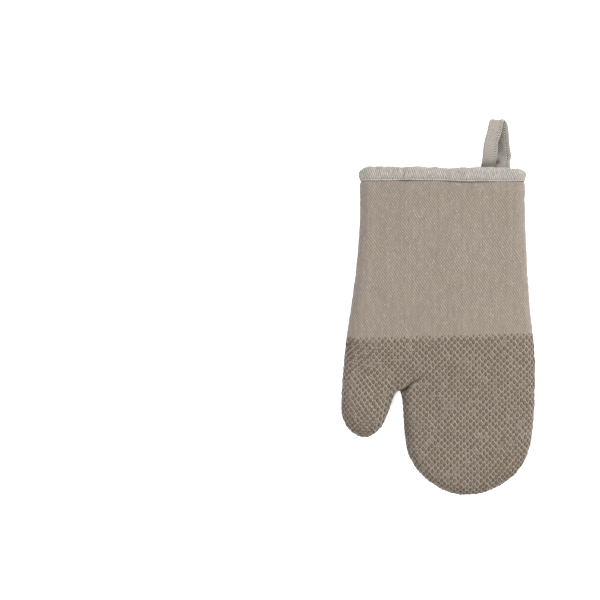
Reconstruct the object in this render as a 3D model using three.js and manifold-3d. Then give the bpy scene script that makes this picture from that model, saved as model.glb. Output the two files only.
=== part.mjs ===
// A padded oven mitt for the right hand, lying on the back of the hand with the palm up.
// Units are millimetres. +Z is up (out of the palm), +Y points to the cuff, -Y to the fingertips
// and -X to the thumb. The object stands on z = 0 with its bounding box centred on x = y = 0.
//
// The mitt is two padded halves sewn together round the edge, palm and back. Each half is three
// layers: an outer twill shell, wadding, and a lining. A tape binds the open cuff, a folded strap
// is sewn into it as a hanging loop, and a thin silicone grip is printed on the lower palm.
// A cloth panel that runs over a flex line is one solid on each side of that line.

import * as THREE from 'three';
import Module from 'manifold-3d';
import { mergeVertices } from 'three/addons/utils/BufferGeometryUtils.js';

// ---------------------------------------------------------------- driving dimensions
const SEAM_Z = 13;            // height of the side seam above the table
const PALM_H = 15;            // the palm's outer face stands this far above the seam
const BACK_H = 13;            // the back's outer face lies this far below the seam
const EDGE_R = 13;            // the pillow edge rounds over this width
const CLOTH_T = 0.9;          // outer twill
const WADDING_T = 4.0;
const LINING_T = 0.5;
const GAP = 0.3;              // clearance between neighbouring layers
const SEAM_HALF_GAP = 0.5;    // the palm and back halves stop this far from the seam plane
const MOUTH_Y = 128;          // outer end of the cuff binding
const LAYER_END_Y = 126.4;    // the layers stop here, inside the binding's fold
const BINDING_W = 12;         // visible width of the binding
const BINDING_T = 1.2;        // thickness of one leaf of the binding
const BINDING_PROUD = 0.8;    // the binding stands past the sides of the body
const CUFF_STEP = 1.6;        // the layers are squeezed in by this much under the binding
const GRIP_LIFT = 0.3;
const GRIP_T = 0.8;
const GRIP_EDGE_Y = -27;      // the grip covers the palm from here to the fingertips
const FINGER_Y = -94;         // finger flex line, across the finger pocket
const FLEX_Z = 20;            // height of both flex lines, inside the palm padding
const FINGER_RANGE = 55;
const CROTCH = [-35.3, -78.0];        // between thumb and fingers
const THUMB_OUTER = [-91.0, -33.0];   // where the thumb's flex line leaves the outer side
const THUMB_RANGE = 45;
const CUT = 0.3;              // half of the clearance at a flex line
const STRAP_W = 13.2;
const STRAP_T = 1.8;
const LOOP_Y = 128.7;         // the loop turns about its sewn root
const LOOP_Z = 10.3;
const TAIL_GAP = 1.25;        // the sewn tails stop short of the turning line, clear of the strap's ends
const FAR = 400;

// The sewn outline seen from the palm, from the cuff's thumb side round the thumb, the crotch and
// the fingertips to the cuff's outer side. It runs on past the cuff, where it is trimmed.
const OUTLINE = [
  [-71.3, 140], [-71.3, 118], [-71.7, 80], [-74.8, 37.7], [-78.2, 10],
  [-82.2, -17.5], [-86.0, -50], [-88.5, -80], [-88.6, -92.9],
  [-87.7, -100.8], [-84.4, -108.4], [-79, -114.8], [-73, -118.7], [-67.3, -119.9],
  [-61.7, -118.7], [-56.5, -115.6], [-52.2, -111.3], [-49, -105.8], [-45.2, -95.5],
  [-41.2, -84.5], [-39.1, -80.4], [-37.6, -78.3], [-36.2, -77.35],
  [-35.0, -77.3], [-34.0, -78.2], [-33.3, -80.2], [-32.4, -87],
  [-31.3, -103], [-29.7, -121.5], [-28.0, -131.5], [-25.3, -139],
  [-20.8, -146.7], [-14, -154.7], [-5.6, -161.6], [2.9, -167.2], [12.3, -170.9],
  [22, -172.4], [28.9, -172.6], [37.6, -171.5], [46.8, -168.9], [56, -164.9],
  [65, -159.2], [73.1, -151.6], [79.5, -142], [84.2, -130], [87.6, -110],
  [89.4, -85], [89.4, -50], [87.6, -20], [84.6, 6], [82.0, 42],
  [80.5, 84], [80.2, 118], [80.2, 140],
];

// ---------------------------------------------------------------- solids
const wasm = await Module();
wasm.setup();

function solid(vertices, triangles) {
  return new wasm.Manifold(new wasm.Mesh({
    numProp: 3,
    vertProperties: new Float32Array(vertices),
    triVerts: new Uint32Array(triangles),
  }));
}

function solidOf(geometry) {
  const g = geometry.clone();
  g.deleteAttribute('normal');
  g.deleteAttribute('uv');
  const merged = mergeVertices(g, 1e-4);
  return solid(merged.attributes.position.array, merged.index.array);
}

function block(x0, x1, y0, y1, z0, z1) {
  const g = new THREE.BoxGeometry(x1 - x0, y1 - y0, z1 - z0);
  g.translate((x0 + x1) / 2, (y0 + y1) / 2, (z0 + z1) / 2);
  return solidOf(g);
}

function prismZ(points, z0, z1) {
  const g = new THREE.ExtrudeGeometry(new THREE.Shape(points.map(([x, y]) => new THREE.Vector2(x, y))),
    { depth: z1 - z0, bevelEnabled: false });
  g.translate(0, 0, z0);
  return solidOf(g);
}

// inward normals of the outline
const inward = OUTLINE.map((p, i) => {
  if (i === 0) return [1, 0];
  if (i === OUTLINE.length - 1) return [-1, 0];
  const [ax, ay] = OUTLINE[i - 1];
  const [bx, by] = OUTLINE[i + 1];
  const inA = Math.hypot(p[0] - ax, p[1] - ay);
  const inB = Math.hypot(bx - p[0], by - p[1]);
  const tx = (p[0] - ax) / inA + (bx - p[0]) / inB;
  const ty = (p[1] - ay) / inA + (by - p[1]) / inB;
  const l = Math.hypot(tx, ty);
  return [-ty / l, tx / l];
});

const RINGS = [0, 0.22, 1];
const ROUND = RINGS.map((u) => Math.sqrt(1 - (1 - u) ** 2));

// The whole pillow, side seam to side seam, with its outline moved in by `inset` and both faces
// moved in by `down`. Every layer is the difference of two of these.
function pillow(inset, down = inset) {
  const n = OUTLINE.length;
  const k = RINGS.length;
  const v = [];
  const t = [];
  const ring = (side, i) => {
    if (i === 0) return 0;
    return side === 1 ? i * n : (k - 1 + i) * n;
  };
  const addRing = (side, i) => {
    const s = inset + RINGS[i] * (EDGE_R - inset);
    const h = side === 1 ? PALM_H - down : -(BACK_H - down);
    for (let j = 0; j < n; j++) {
      v.push(OUTLINE[j][0] + inward[j][0] * s, OUTLINE[j][1] + inward[j][1] * s, SEAM_Z + h * ROUND[i]);
    }
  };
  addRing(1, 0);
  for (let i = 1; i < k; i++) addRing(1, i);
  for (let i = 1; i < k; i++) addRing(-1, i);
  for (const side of [1, -1]) {
    for (let i = 0; i < k - 1; i++) {
      const a = ring(side, i);
      const b = ring(side, i + 1);
      for (let j = 0; j < n - 1; j++) {
        if (side === 1) t.push(a + j, a + j + 1, b + j + 1, a + j, b + j + 1, b + j);
        else t.push(a + j, b + j + 1, a + j + 1, a + j, b + j, b + j + 1);
      }
    }
    const top = ring(side, k - 1);
    const flat = [];
    for (let j = 0; j < n; j++) flat.push(new THREE.Vector2(v[3 * (top + j)], v[3 * (top + j) + 1]));
    for (const [p, q, r] of THREE.ShapeUtils.triangulateShape(flat, [])) {
      const a = flat[p];
      const b = flat[q];
      const c = flat[r];
      const ccw = (b.x - a.x) * (c.y - a.y) - (b.y - a.y) * (c.x - a.x) > 0;
      if (ccw === (side === 1)) t.push(top + p, top + q, top + r);
      else t.push(top + p, top + r, top + q);
    }
  }
  // the flat end past the cuff
  const end = [];
  for (let i = 0; i < k; i++) end.push(ring(1, i));
  for (let i = k - 1; i >= 0; i--) end.push(ring(1, i) + n - 1);
  for (let i = 1; i < k; i++) end.push(ring(-1, i) + n - 1);
  for (let i = k - 1; i >= 1; i--) end.push(ring(-1, i));
  for (let i = 1; i < end.length - 1; i++) t.push(end[0], end[i], end[i + 1]);
  return solid(v, t);
}

// A layer boundary at depth d: the pillow, squeezed in under the cuff binding.
const bindingY = MOUTH_Y - BINDING_W;
function boundary(d) {
  return pillow(d).intersect(block(-FAR, FAR, -FAR, bindingY - GAP - d, -FAR, FAR)).add(pillow(d + CUFF_STEP));
}

// ---------------------------------------------------------------- flex lines
const grade = (deg) => Math.tan(THREE.MathUtils.degToRad(deg / 2 + 1));

// A groove along +X through the origin, wedge-shaped above the flex line so that the two sides
// close on each other when it bends.
function groove(x0, x1, range) {
  const w = (60 - FLEX_Z) * grade(range);
  const s = new THREE.Shape([
    new THREE.Vector2(-CUT, -60), new THREE.Vector2(CUT, -60), new THREE.Vector2(CUT, 0),
    new THREE.Vector2(CUT + w, 60 - FLEX_Z), new THREE.Vector2(-CUT - w, 60 - FLEX_Z), new THREE.Vector2(-CUT, 0),
  ]);
  const g = new THREE.ExtrudeGeometry(s, { depth: x1 - x0, bevelEnabled: false });
  // section (across, up) along depth -> (Y, Z) along X
  g.applyMatrix4(new THREE.Matrix4().makeBasis(
    new THREE.Vector3(0, 1, 0), new THREE.Vector3(0, 0, 1), new THREE.Vector3(1, 0, 0)));
  g.translate(x0, 0, 0);
  return g;
}

const thumbDir = new THREE.Vector2(THUMB_OUTER[0] - CROTCH[0], THUMB_OUTER[1] - CROTCH[1]).normalize();
const thumbAngle = Math.atan2(-thumbDir.y, -thumbDir.x);   // the groove's +X runs from the outer side to the crotch

const fingerGroove = solidOf(groove(CROTCH[0], FAR, FINGER_RANGE).translate(0, FINGER_Y, FLEX_Z));
const thumbGroove = solidOf(groove(-FAR, 4, THUMB_RANGE).rotateZ(thumbAngle).translate(CROTCH[0], CROTCH[1], FLEX_Z));

const fingerZone = block(CROTCH[0], FAR, -FAR, FINGER_Y, -FAR, FAR);
const thumbZone = prismZ([
  [CROTCH[0], CROTCH[1]], [CROTCH[0] + thumbDir.x * FAR, CROTCH[1] + thumbDir.y * FAR],
  [-2 * FAR, -FAR], [CROTCH[0], -FAR],
], -FAR, FAR);

const ZONES = {
  gauntlet: (s) => s.subtract(fingerZone).subtract(thumbZone).subtract(fingerGroove).subtract(thumbGroove),
  fingers: (s) => s.intersect(fingerZone).subtract(fingerGroove),
  thumb: (s) => s.intersect(thumbZone).subtract(thumbGroove),
};

// ---------------------------------------------------------------- the parts
const mitt = new THREE.Group();

function add(name, manifold, colour, roughness, metalness = 0) {
  const m = manifold.getMesh();
  const g = new THREE.BufferGeometry();
  g.setAttribute('position', new THREE.BufferAttribute(Float32Array.from(m.vertProperties), m.numProp));
  g.setIndex(new THREE.BufferAttribute(Uint32Array.from(m.triVerts), 1));
  g.computeVertexNormals();
  const mesh = new THREE.Mesh(g, new THREE.MeshStandardMaterial({ color: colour, roughness, metalness }));
  mesh.name = name;
  mitt.add(mesh);
}

const TWILL = 0xa59a8f;
const WADDING = 0xeeece6;
const LINING = 0xd9d2c6;
const GRIP = 0x6f6357;
const TAPE = 0xb4aca4;
const THREAD = 0xc6c0b6;

const LAYERS = [
  ['shell', 0, CLOTH_T, TWILL, 0.92],
  ['wadding', CLOTH_T + GAP, CLOTH_T + GAP + WADDING_T, WADDING, 1.0],
  ['lining', CLOTH_T + 2 * GAP + WADDING_T, CLOTH_T + 2 * GAP + WADDING_T + LINING_T, LINING, 0.9],
];
const STACK_T = LAYERS[2][2];

const above = block(-FAR, FAR, -FAR, LAYER_END_Y, SEAM_Z + SEAM_HALF_GAP, FAR);
const below = block(-FAR, FAR, -FAR, LAYER_END_Y, -FAR, SEAM_Z - SEAM_HALF_GAP);

for (const [layer, outer, inner, colour, rough] of LAYERS) {
  const tube = boundary(outer).subtract(boundary(inner));
  for (const [side, half] of [['palm', above], ['back', below]]) {
    const part = tube.intersect(half);
    for (const zone of Object.keys(ZONES)) add(`${side}_${layer}_${zone}`, ZONES[zone](part), colour, rough);
  }
}

// the closing seam's thread runs round the edge between the palm and back halves
const seamThread = boundary(1.0).subtract(boundary(2.2))
  .intersect(block(-FAR, FAR, -FAR, LAYER_END_Y, SEAM_Z - 0.2, SEAM_Z + 0.2));
for (const zone of Object.keys(ZONES)) {
  // the outline crosses a zone on one side or two, so each run of thread is its own piece
  const runs = ZONES[zone](seamThread).decompose();
  runs.sort((a, b) => a.boundingBox().min[0] - b.boundingBox().min[0]);
  runs.forEach((run, i) => add(`seam_thread_${zone}${runs.length > 1 ? `_${i + 1}` : ''}`, run, THREAD, 0.8));
}

// silicone grip on the lower palm
const gripSheet = pillow(-GRIP_LIFT - GRIP_T).subtract(pillow(-GRIP_LIFT))
  .intersect(block(-FAR, FAR, -FAR, GRIP_EDGE_Y, SEAM_Z + 3, FAR));
for (const zone of Object.keys(ZONES)) add(`grip_print_${zone}`, ZONES[zone](gripSheet), GRIP, 0.35);

// tape folded over the cuff edge, outside and inside
const leafIn = STACK_T + CUFF_STEP + 0.3;
const stitchY = bindingY + 1.6;
const binding = pillow(-BINDING_PROUD, 0).subtract(pillow(leafIn + 1.0))
  .intersect(block(-FAR, FAR, bindingY, MOUTH_Y, -FAR, FAR))
  .subtract(pillow(BINDING_T - BINDING_PROUD + 1.2, BINDING_T).subtract(pillow(leafIn))
    .intersect(block(-FAR, FAR, -FAR, LAYER_END_Y + 0.4, -FAR, FAR)))
  .subtract(pillow(-BINDING_PROUD - 5, -5).subtract(pillow(0.7 - BINDING_PROUD, 0.7))
    .intersect(block(-FAR, FAR, stitchY - 0.7, stitchY + 0.7, -FAR, FAR)));
add('cuff_binding', binding, TAPE, 0.9);

const bindingStitch = pillow(0.05 - BINDING_PROUD, 0.05).subtract(pillow(0.4 - BINDING_PROUD, 0.4))
  .intersect(block(-FAR, FAR, stitchY - 0.4, stitchY + 0.4, -FAR, FAR));
add('binding_topstitch', bindingStitch, THREAD, 0.8);

// ---------------------------------------------------------------- hanging loop
const LOOP_PATH = [
  [46.8, 129.0, 10.3], [46.9, 133, 11.0], [47.9, 143, 14], [50.3, 155, 17.3], [53.2, 165.2, 17.4],
  [55.6, 171.4, 12.0], [57.2, 165.6, 6.8], [58.8, 155, 6.2], [60.4, 143, 7.6], [60.9, 133, 9.6],
  [60.9, 129.0, 10.3],
];

// a flat strip of the given width and thickness along a curve, its faces turned to lie across
// `wide`; `trim` is the share of the curve left bare at each end
function strip(points, wide, width, thick, steps, shift = [0, 0], trim = 0) {
  const curve = new THREE.CatmullRomCurve3(points.map((p) => new THREE.Vector3(...p)), false, 'centripetal');
  const v = [];
  const t = [];
  for (let i = 0; i <= steps; i++) {
    const u = trim + (1 - 2 * trim) * (i / steps);
    const p = curve.getPointAt(u);
    let along = curve.getTangentAt(u);
    if (u === 0) along = new THREE.Vector3(0, 1, 0);
    if (u === 1) along = new THREE.Vector3(0, -1, 0);
    const face = new THREE.Vector3().crossVectors(along, wide).normalize();
    const across = new THREE.Vector3().crossVectors(face, along).normalize();
    for (const [a, b] of [[-1, -1], [1, -1], [1, 1], [-1, 1]]) {
      const q = p.clone()
        .addScaledVector(across, a * width / 2 + shift[0])
        .addScaledVector(face, b * thick / 2 + shift[1]);
      v.push(q.x, q.y, q.z);
    }
  }
  for (let i = 0; i < steps; i++) {
    for (let c = 0; c < 4; c++) {
      const a = 4 * i + c;
      const b = 4 * i + (c + 1) % 4;
      t.push(a, a + 4, b, b, a + 4, b + 4);
    }
  }
  const e = 4 * steps;
  t.push(0, 1, 2, 0, 2, 3, e, e + 2, e + 1, e, e + 3, e + 2);
  let s = solid(v, t);
  if (s.volume() < 0) {
    for (let i = 0; i < t.length; i += 3) [t[i + 1], t[i + 2]] = [t[i + 2], t[i + 1]];
    s = solid(v, t);
  }
  return s;
}

const acrossX = new THREE.Vector3(1, 0, 0);
add('hanging_loop', strip(LOOP_PATH, acrossX, STRAP_W, STRAP_T, 30), TAPE, 0.9);
add('loop_edge_stitch', strip(LOOP_PATH, acrossX, 0.8, 0.4, 30, [STRAP_W / 2 - 2.6, -(STRAP_T / 2 + 0.5)], 0.06), THREAD, 0.8);
for (const [name, x] of [['loop_tail_1', LOOP_PATH[0][0]], ['loop_tail_2', LOOP_PATH[10][0]]]) {
  add(name, block(x - STRAP_W / 2, x + STRAP_W / 2, 117.5, LOOP_Y - TAIL_GAP, LOOP_Z - STRAP_T / 2, LOOP_Z + STRAP_T / 2), TAPE, 0.9);
}

// centre the object on x = y = 0, standing on z = 0
const box = new THREE.Box3().setFromObject(mitt);
mitt.position.set(-(box.min.x + box.max.x) / 2, -(box.min.y + box.max.y) / 2, -box.min.z);

export default mitt;
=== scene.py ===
import math

import bpy
import numpy as np
from mathutils import Matrix, Vector
from mathutils.bvhtree import BVHTree
from mathutils.geometry import delaunay_2d_cdt


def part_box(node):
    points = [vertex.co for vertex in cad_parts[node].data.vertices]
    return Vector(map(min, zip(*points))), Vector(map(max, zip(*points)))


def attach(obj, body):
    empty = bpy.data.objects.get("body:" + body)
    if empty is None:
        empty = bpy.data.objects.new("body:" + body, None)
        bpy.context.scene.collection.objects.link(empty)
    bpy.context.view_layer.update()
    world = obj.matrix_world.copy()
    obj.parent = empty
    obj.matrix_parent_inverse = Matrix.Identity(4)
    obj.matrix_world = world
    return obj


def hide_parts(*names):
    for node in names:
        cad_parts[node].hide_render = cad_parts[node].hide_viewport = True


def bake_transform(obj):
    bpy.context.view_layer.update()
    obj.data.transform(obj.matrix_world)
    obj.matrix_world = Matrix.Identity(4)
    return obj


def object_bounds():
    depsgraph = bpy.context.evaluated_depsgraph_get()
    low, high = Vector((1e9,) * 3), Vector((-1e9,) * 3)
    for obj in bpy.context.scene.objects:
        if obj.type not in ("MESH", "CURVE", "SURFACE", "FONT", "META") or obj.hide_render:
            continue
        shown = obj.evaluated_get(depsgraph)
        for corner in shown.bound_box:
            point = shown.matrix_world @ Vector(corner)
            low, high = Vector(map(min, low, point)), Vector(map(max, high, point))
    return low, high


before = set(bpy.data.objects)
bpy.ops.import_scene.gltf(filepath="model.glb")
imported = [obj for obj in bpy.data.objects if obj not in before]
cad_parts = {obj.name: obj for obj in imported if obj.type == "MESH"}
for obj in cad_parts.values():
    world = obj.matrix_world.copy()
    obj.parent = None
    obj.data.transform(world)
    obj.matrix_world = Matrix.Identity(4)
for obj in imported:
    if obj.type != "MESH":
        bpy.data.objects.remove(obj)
CAD_LO, CAD_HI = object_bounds()
CAD_LO, CAD_HI = list(CAD_LO), list(CAD_HI)

# ------------------------------------------------------------------ frame of the soft parts
# Everything below is worked out in millimetres in the part's own drawing coordinates, and moved
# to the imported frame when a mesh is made.
_lo, _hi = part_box("hanging_loop")
OFF = np.array([(_lo.x + _hi.x) * 500 - 53.86, -0.047, 0.0])
SEAM_Z = 13.0
MOUTH_END = 125.6     # the layers end here, inside the binding
MOUTH_TOP = 128.0
BIND_LOW = 115.9

CONTROL = np.array([
    [-71.3, 115.9], [-71.3, 98.5], [-71.4, 81.9], [-72.0, 70.9], [-72.8, 59.8], [-73.7, 48.8],
    [-74.8, 37.7], [-75.9, 26.7], [-77.4, 15.6], [-79.0, 4.6], [-80.5, -6.4], [-82.2, -17.5],
    [-83.7, -28.5], [-85.0, -39.6], [-86.0, -50.6], [-87.0, -61.7], [-87.9, -72.7],
    [-88.5, -83.7], [-88.7, -92.9], [-87.9, -100.3], [-85.6, -106.3], [-82.1, -111.6],
    [-77.5, -116.0], [-72.4, -118.9], [-67.3, -119.9], [-61.7, -118.8], [-56.5, -115.5],
    [-52.2, -111.0], [-49.0, -105.8], [-46.7, -100.3], [-44.9, -94.8], [-43.1, -89.3],
    [-40.9, -83.7], [-38.8, -79.8], [-36.9, -77.6], [-35.3, -76.9], [-34.2, -77.8],
    [-33.2, -81.0], [-32.3, -87.4], [-31.6, -96.6], [-30.9, -107.7], [-30.1, -118.7],
    [-28.8, -127.9], [-27.1, -134.3], [-24.3, -140.8], [-19.7, -148.2], [-13.1, -155.5],
    [-5.6, -161.7], [2.9, -167.1], [12.3, -170.9], [21.0, -172.4], [29.2, -172.6],
    [37.6, -171.5], [46.8, -168.9], [56.0, -164.7], [65.0, -159.1], [72.9, -151.8],
    [78.9, -143.4], [83.0, -134.3], [85.6, -124.2], [87.3, -113.2], [88.5, -100.3],
    [89.2, -85.6], [89.5, -70.9], [89.5, -56.1], [89.2, -43.2], [88.4, -32.2], [87.2, -21.2],
    [85.9, -10.1], [84.7, 1.8], [83.7, 15.6], [82.7, 30.4], [81.9, 46.9], [81.2, 63.5],
    [80.6, 80.1], [80.2, 98.5], [80.2, 115.9],
])
CROTCH = np.array([-35.3, -76.9])
rng = np.random.default_rng(7)


def smooth(lo, hi, x):
    t = np.clip((np.asarray(x, float) - lo) / (hi - lo), 0, 1)
    return t * t * (3 - 2 * t)


def waves(x, y, wavelength, seed, n=7):
    """Smooth noise of about unit amplitude: a sum of waves of one rough wavelength."""
    r = np.random.default_rng(seed)
    out = np.zeros(np.broadcast(x, y).shape)
    for _ in range(n):
        a = r.uniform(0, math.pi)
        k = 2 * math.pi / (wavelength * r.uniform(0.7, 1.4))
        out = out + np.sin(k * (np.cos(a) * x + np.sin(a) * y) + r.uniform(0, 6.283)) * r.uniform(0.6, 1.0)
    return out / math.sqrt(n * 0.33)


# ------------------------------------------------------------------ outline
def catmull(points, per=24):
    p = np.vstack([2 * points[0] - points[1], points, 2 * points[-1] - points[-2]])
    out = []
    for i in range(1, len(p) - 2):
        t = np.linspace(0, 1, per, endpoint=False)[:, None]
        a, b, c, d = p[i - 1], p[i], p[i + 1], p[i + 2]
        out.append(0.5 * (2 * b + (c - a) * t + (2 * a - 5 * b + 4 * c - d) * t ** 2 + (3 * b - 3 * c + d - a) * t ** 3))
    out.append(points[-1:])
    return np.vstack(out)


def arclength(p):
    return np.concatenate([[0], np.cumsum(np.linalg.norm(np.diff(p, axis=0), axis=1))])


def at_length(p, s, want):
    return np.stack([np.interp(want, s, p[:, k]) for k in range(p.shape[1])], axis=1)


dense = catmull(np.vstack([[-71.3, 150.0], [-71.3, 132.0], CONTROL, [80.2, 132.0], [80.2, 150.0]]))
_s = arclength(dense)
dense = at_length(dense, _s, np.arange(0, _s[-1], 0.25))
_k = np.exp(-0.5 * (np.arange(-30, 31) * 0.25 / 2.4) ** 2)
_k /= _k.sum()
_pad = np.vstack([np.repeat(dense[:1], 30, 0), dense, np.repeat(dense[-1:], 30, 0)])
_soft = np.stack([np.convolve(_pad[:, k], _k, "valid") for k in range(2)], axis=1)
_near = smooth(3.5, 11, np.linalg.norm(dense - CROTCH, axis=1))[:, None]
dense = dense * (1 - _near) + _soft * _near
_i0 = np.argmin(np.abs(dense[: len(dense) // 2, 1] - MOUTH_END))
_i1 = len(dense) // 2 + np.argmin(np.abs(dense[len(dense) // 2:, 1] - MOUTH_END))
dense = dense[_i0: _i1 + 1]
dense[0, 1] = dense[-1, 1] = MOUTH_END
_t = np.gradient(dense, axis=0)
_t /= np.linalg.norm(_t, axis=1)[:, None]
dense = dense + 0.28 * np.stack([_t[:, 1], -_t[:, 0]], axis=1)
dense[0, 1] = dense[-1, 1] = MOUTH_END
DENSE_S = arclength(dense)
X0, X1 = float(dense[0, 0]), float(dense[-1, 0])


def outline_points(step, fine):
    """Points along the outline about step apart, closer at the crotch."""
    want, s = [0.0], 0.0
    total = DENSE_S[-1]
    while s < total - step * 0.6:
        p = at_length(dense, DENSE_S, [s])[0]
        d = np.linalg.norm(p - CROTCH)
        s += fine + (step - fine) * float(smooth(1.8, 18, d))
        want.append(min(s, total))
    want[-1] = total
    return at_length(dense, DENSE_S, want), np.array(want)


def inward_of(p):
    t = np.gradient(p, axis=0)
    for _ in range(2):
        t[1:-1] = (t[:-2] + 2 * t[1:-1] + t[2:]) / 4
    t /= np.linalg.norm(t, axis=1)[:, None]
    n = np.stack([-t[:, 1], t[:, 0]], axis=1)
    n[0], n[-1] = (1, 0), (-1, 0)
    return n


_pick = [0]
while _pick[-1] < len(dense) - 7:
    _pick.append(_pick[-1] + (1 if np.linalg.norm(dense[_pick[-1]] - CROTCH) < 9 else 5))
_ext = np.vstack([[X0, 220.0], dense[_pick], dense[-1:], [X1, 220.0]])
_EXT_S = np.concatenate([[-(220.0 - MOUTH_END)], DENSE_S[_pick], DENSE_S[-1:], [DENSE_S[-1] + 220.0 - MOUTH_END]])


def to_edge(p, only=None):
    """(plan distance to the outline, arc length of the nearest point, the nearest point)."""
    pick = np.arange(len(_ext) - 1)
    if only is not None:
        at_crotch = DENSE_S[np.argmin(np.linalg.norm(dense - CROTCH, axis=1))]
        pick = pick[(_EXT_S[1:] <= at_crotch + 0.3) if only == "thumb" else (_EXT_S[:-1] >= at_crotch - 0.3)]
    a, b, s0, s1 = _ext[pick], _ext[pick + 1], _EXT_S[pick], _EXT_S[pick + 1]
    ab = b - a
    ll = np.maximum((ab ** 2).sum(1), 1e-12)
    dist, arc, foot = np.empty(len(p)), np.empty(len(p)), np.empty((len(p), 2))
    for i in range(0, len(p), 2000):
        q = p[i:i + 2000]
        t = np.clip(((q[:, None] - a) * ab).sum(2) / ll, 0, 1)
        f = a + t[..., None] * ab
        d = np.linalg.norm(q[:, None] - f, axis=2)
        j = d.argmin(1)
        r = np.arange(len(q))
        dist[i:i + 2000] = d[r, j]
        foot[i:i + 2000] = f[r, j]
        arc[i:i + 2000] = s0[j] + t[r, j] * (s1[j] - s0[j])
    return dist, arc, foot


def inside(p, polygon):
    x, y = p[:, 0], p[:, 1]
    out = np.zeros(len(p), bool)
    x0, y0 = polygon[:, 0], polygon[:, 1]
    x1, y1 = np.roll(x0, -1), np.roll(y0, -1)
    for i in range(len(polygon)):
        if y0[i] == y1[i]:
            continue
        hit = ((y0[i] > y) != (y1[i] > y)) & (x < (x1[i] - x0[i]) * (y - y0[i]) / (y1[i] - y0[i]) + x0[i])
        out ^= hit
    return out


# ------------------------------------------------------------------ section of the pillow edge
EDGE_R = 10.5          # plan width of the rounded edge
RISE = {"palm": 10.6, "back": 10.9}
CROWN = {"palm": 3.7, "back": 4.2}
GROOVE = 1.0           # the seam is drawn in by this much
PHI = np.radians([0, 2.2, 4.5, 7, 10.5, 15, 20, 25, 30, 35, 40, 45, 50, 55, 60, 65, 70, 75, 80, 85, 90])


def section(side, phi):
    """(inward plan offset, height from the seam plane) round the edge, from the seam at phi 0."""
    s = EDGE_R * (1 - np.cos(phi)) + GROOVE * np.exp(-(phi / math.radians(5.0)) ** 2)
    return s, RISE[side] * np.sin(phi) * (1 - 0.0 * phi)


ARC = {}
for _side in ("palm", "back"):
    _ph = np.linspace(0, math.pi / 2, 400)
    _sx, _sz = section(_side, _ph)
    ARC[_side] = (_ph, arclength(np.stack([_sx, _sz], 1)))
EDGE_L = ARC["palm"][1][-1]     # cloth length round the edge, from the seam to the flat


def crown(side, d):
    return CROWN[side] * (1 - np.exp(-(np.maximum(d - 3.0, 0) / 27.0) ** 1.6))


CREASE = np.array([[-34.6, -77.9], [-31.6, -76.3], [-27.0, -72.4], [-22.5, -69.0], [-16.5, -65.0]])


def to_line(p, line):
    a, b = line[:-1], line[1:]
    ab = b - a
    t = np.clip(((p[:, None] - a) * ab).sum(2) / (ab ** 2).sum(1), 0, 1)
    f = a + t[..., None] * ab
    d = np.linalg.norm(p[:, None] - f, axis=2)
    j = d.argmin(1)
    r = np.arange(len(p))
    s = arclength(line)
    along = (s[j] + t[r, j] * (s[j + 1] - s[j])) / s[-1]
    v = p - f[r, j]
    side = np.sign(ab[j, 0] * v[:, 1] - ab[j, 1] * v[:, 0])
    return d[r, j], along, side


def relief(side, xy, d, arc, fine):
    """Displacement along the surface normal, in millimetres: slack, puckers and creases of the cloth."""
    x, y = xy[:, 0], xy[:, 1]
    sd = 11 if side == "palm" else 31
    body = smooth(2, 16, d)
    cuff = 1 - smooth(108, 117, y)
    out = 0.42 * waves(x, y, 58, sd) * body + 0.16 * waves(x, y, 21, sd + 1) * body
    out += 0.05 * waves(x, y, 8, sd + 2) * fine
    # gathers of the closing seam
    edge = np.exp(-d / 4.2) * smooth(0.2, 1.4, d + 0.6)
    out += 0.20 * edge * waves(arc, arc * 0 + 3.1, 7.0, sd + 3, n=5) * cuff * fine
    out += 0.10 * edge * waves(arc, arc * 0 + 1.1, 3.4, sd + 4, n=5) * cuff * fine
    # soft drag lines from the crotch
    v = xy - CROTCH
    r = np.linalg.norm(v, axis=1)
    th = np.arctan2(v[:, 1], v[:, 0])
    drag = np.exp(-r / 15) * smooth(2, 8, r) * smooth(-0.4, 0.4, v[:, 1] + 0.0)
    out += (0.55 if side == "back" else 0.35) * drag * np.cos(7 * th + (1.3 if side == "back" else 0.4))
    if side == "palm":
        dist, along, hand = to_line(xy, CREASE)
        fade = np.clip(1 - along, 0, 1) ** 0.75 * smooth(0.0, 2.6, d)
        lip = np.sqrt(np.clip(1 - (1 - np.clip(dist / 3.0, 0, 1)) ** 2, 0, 1))
        if fine:
            out -= fade * (2.1 * (1 - lip) + 5.2 * np.exp(-(dist / 1.05) ** 2))
            out += fade * 0.9 * np.exp(-((dist - 3.0) / 2.4) ** 2) * (hand > 0)
        else:
            out -= fade * 7.6 * np.exp(-(dist / 3.0) ** 2)
    else:
        v2 = xy - np.array([-33.0, -66.0])
        out -= 0.7 * np.exp(-(v2[:, 0] / 5.0) ** 2 - (v2[:, 1] / 9.0) ** 2)
    # squeezed under the binding, and slightly full just below it
    out -= 1.15 * smooth(112.8, 116.2, y)
    out += 0.25 * np.exp(-((y - 107) / 4.5) ** 2) * (1 + 0.5 * waves(x, y * 0, 17, sd + 6))
    return out


def vertex_normals(p, tri):
    a, b, c = p[tri[:, 0]], p[tri[:, 1]], p[tri[:, 2]]
    f = np.cross(b - a, c - a)
    n = np.zeros_like(p)
    for k in range(3):
        np.add.at(n, tri[:, k], f)
    return n / np.maximum(np.linalg.norm(n, axis=1), 1e-12)[:, None]


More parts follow.
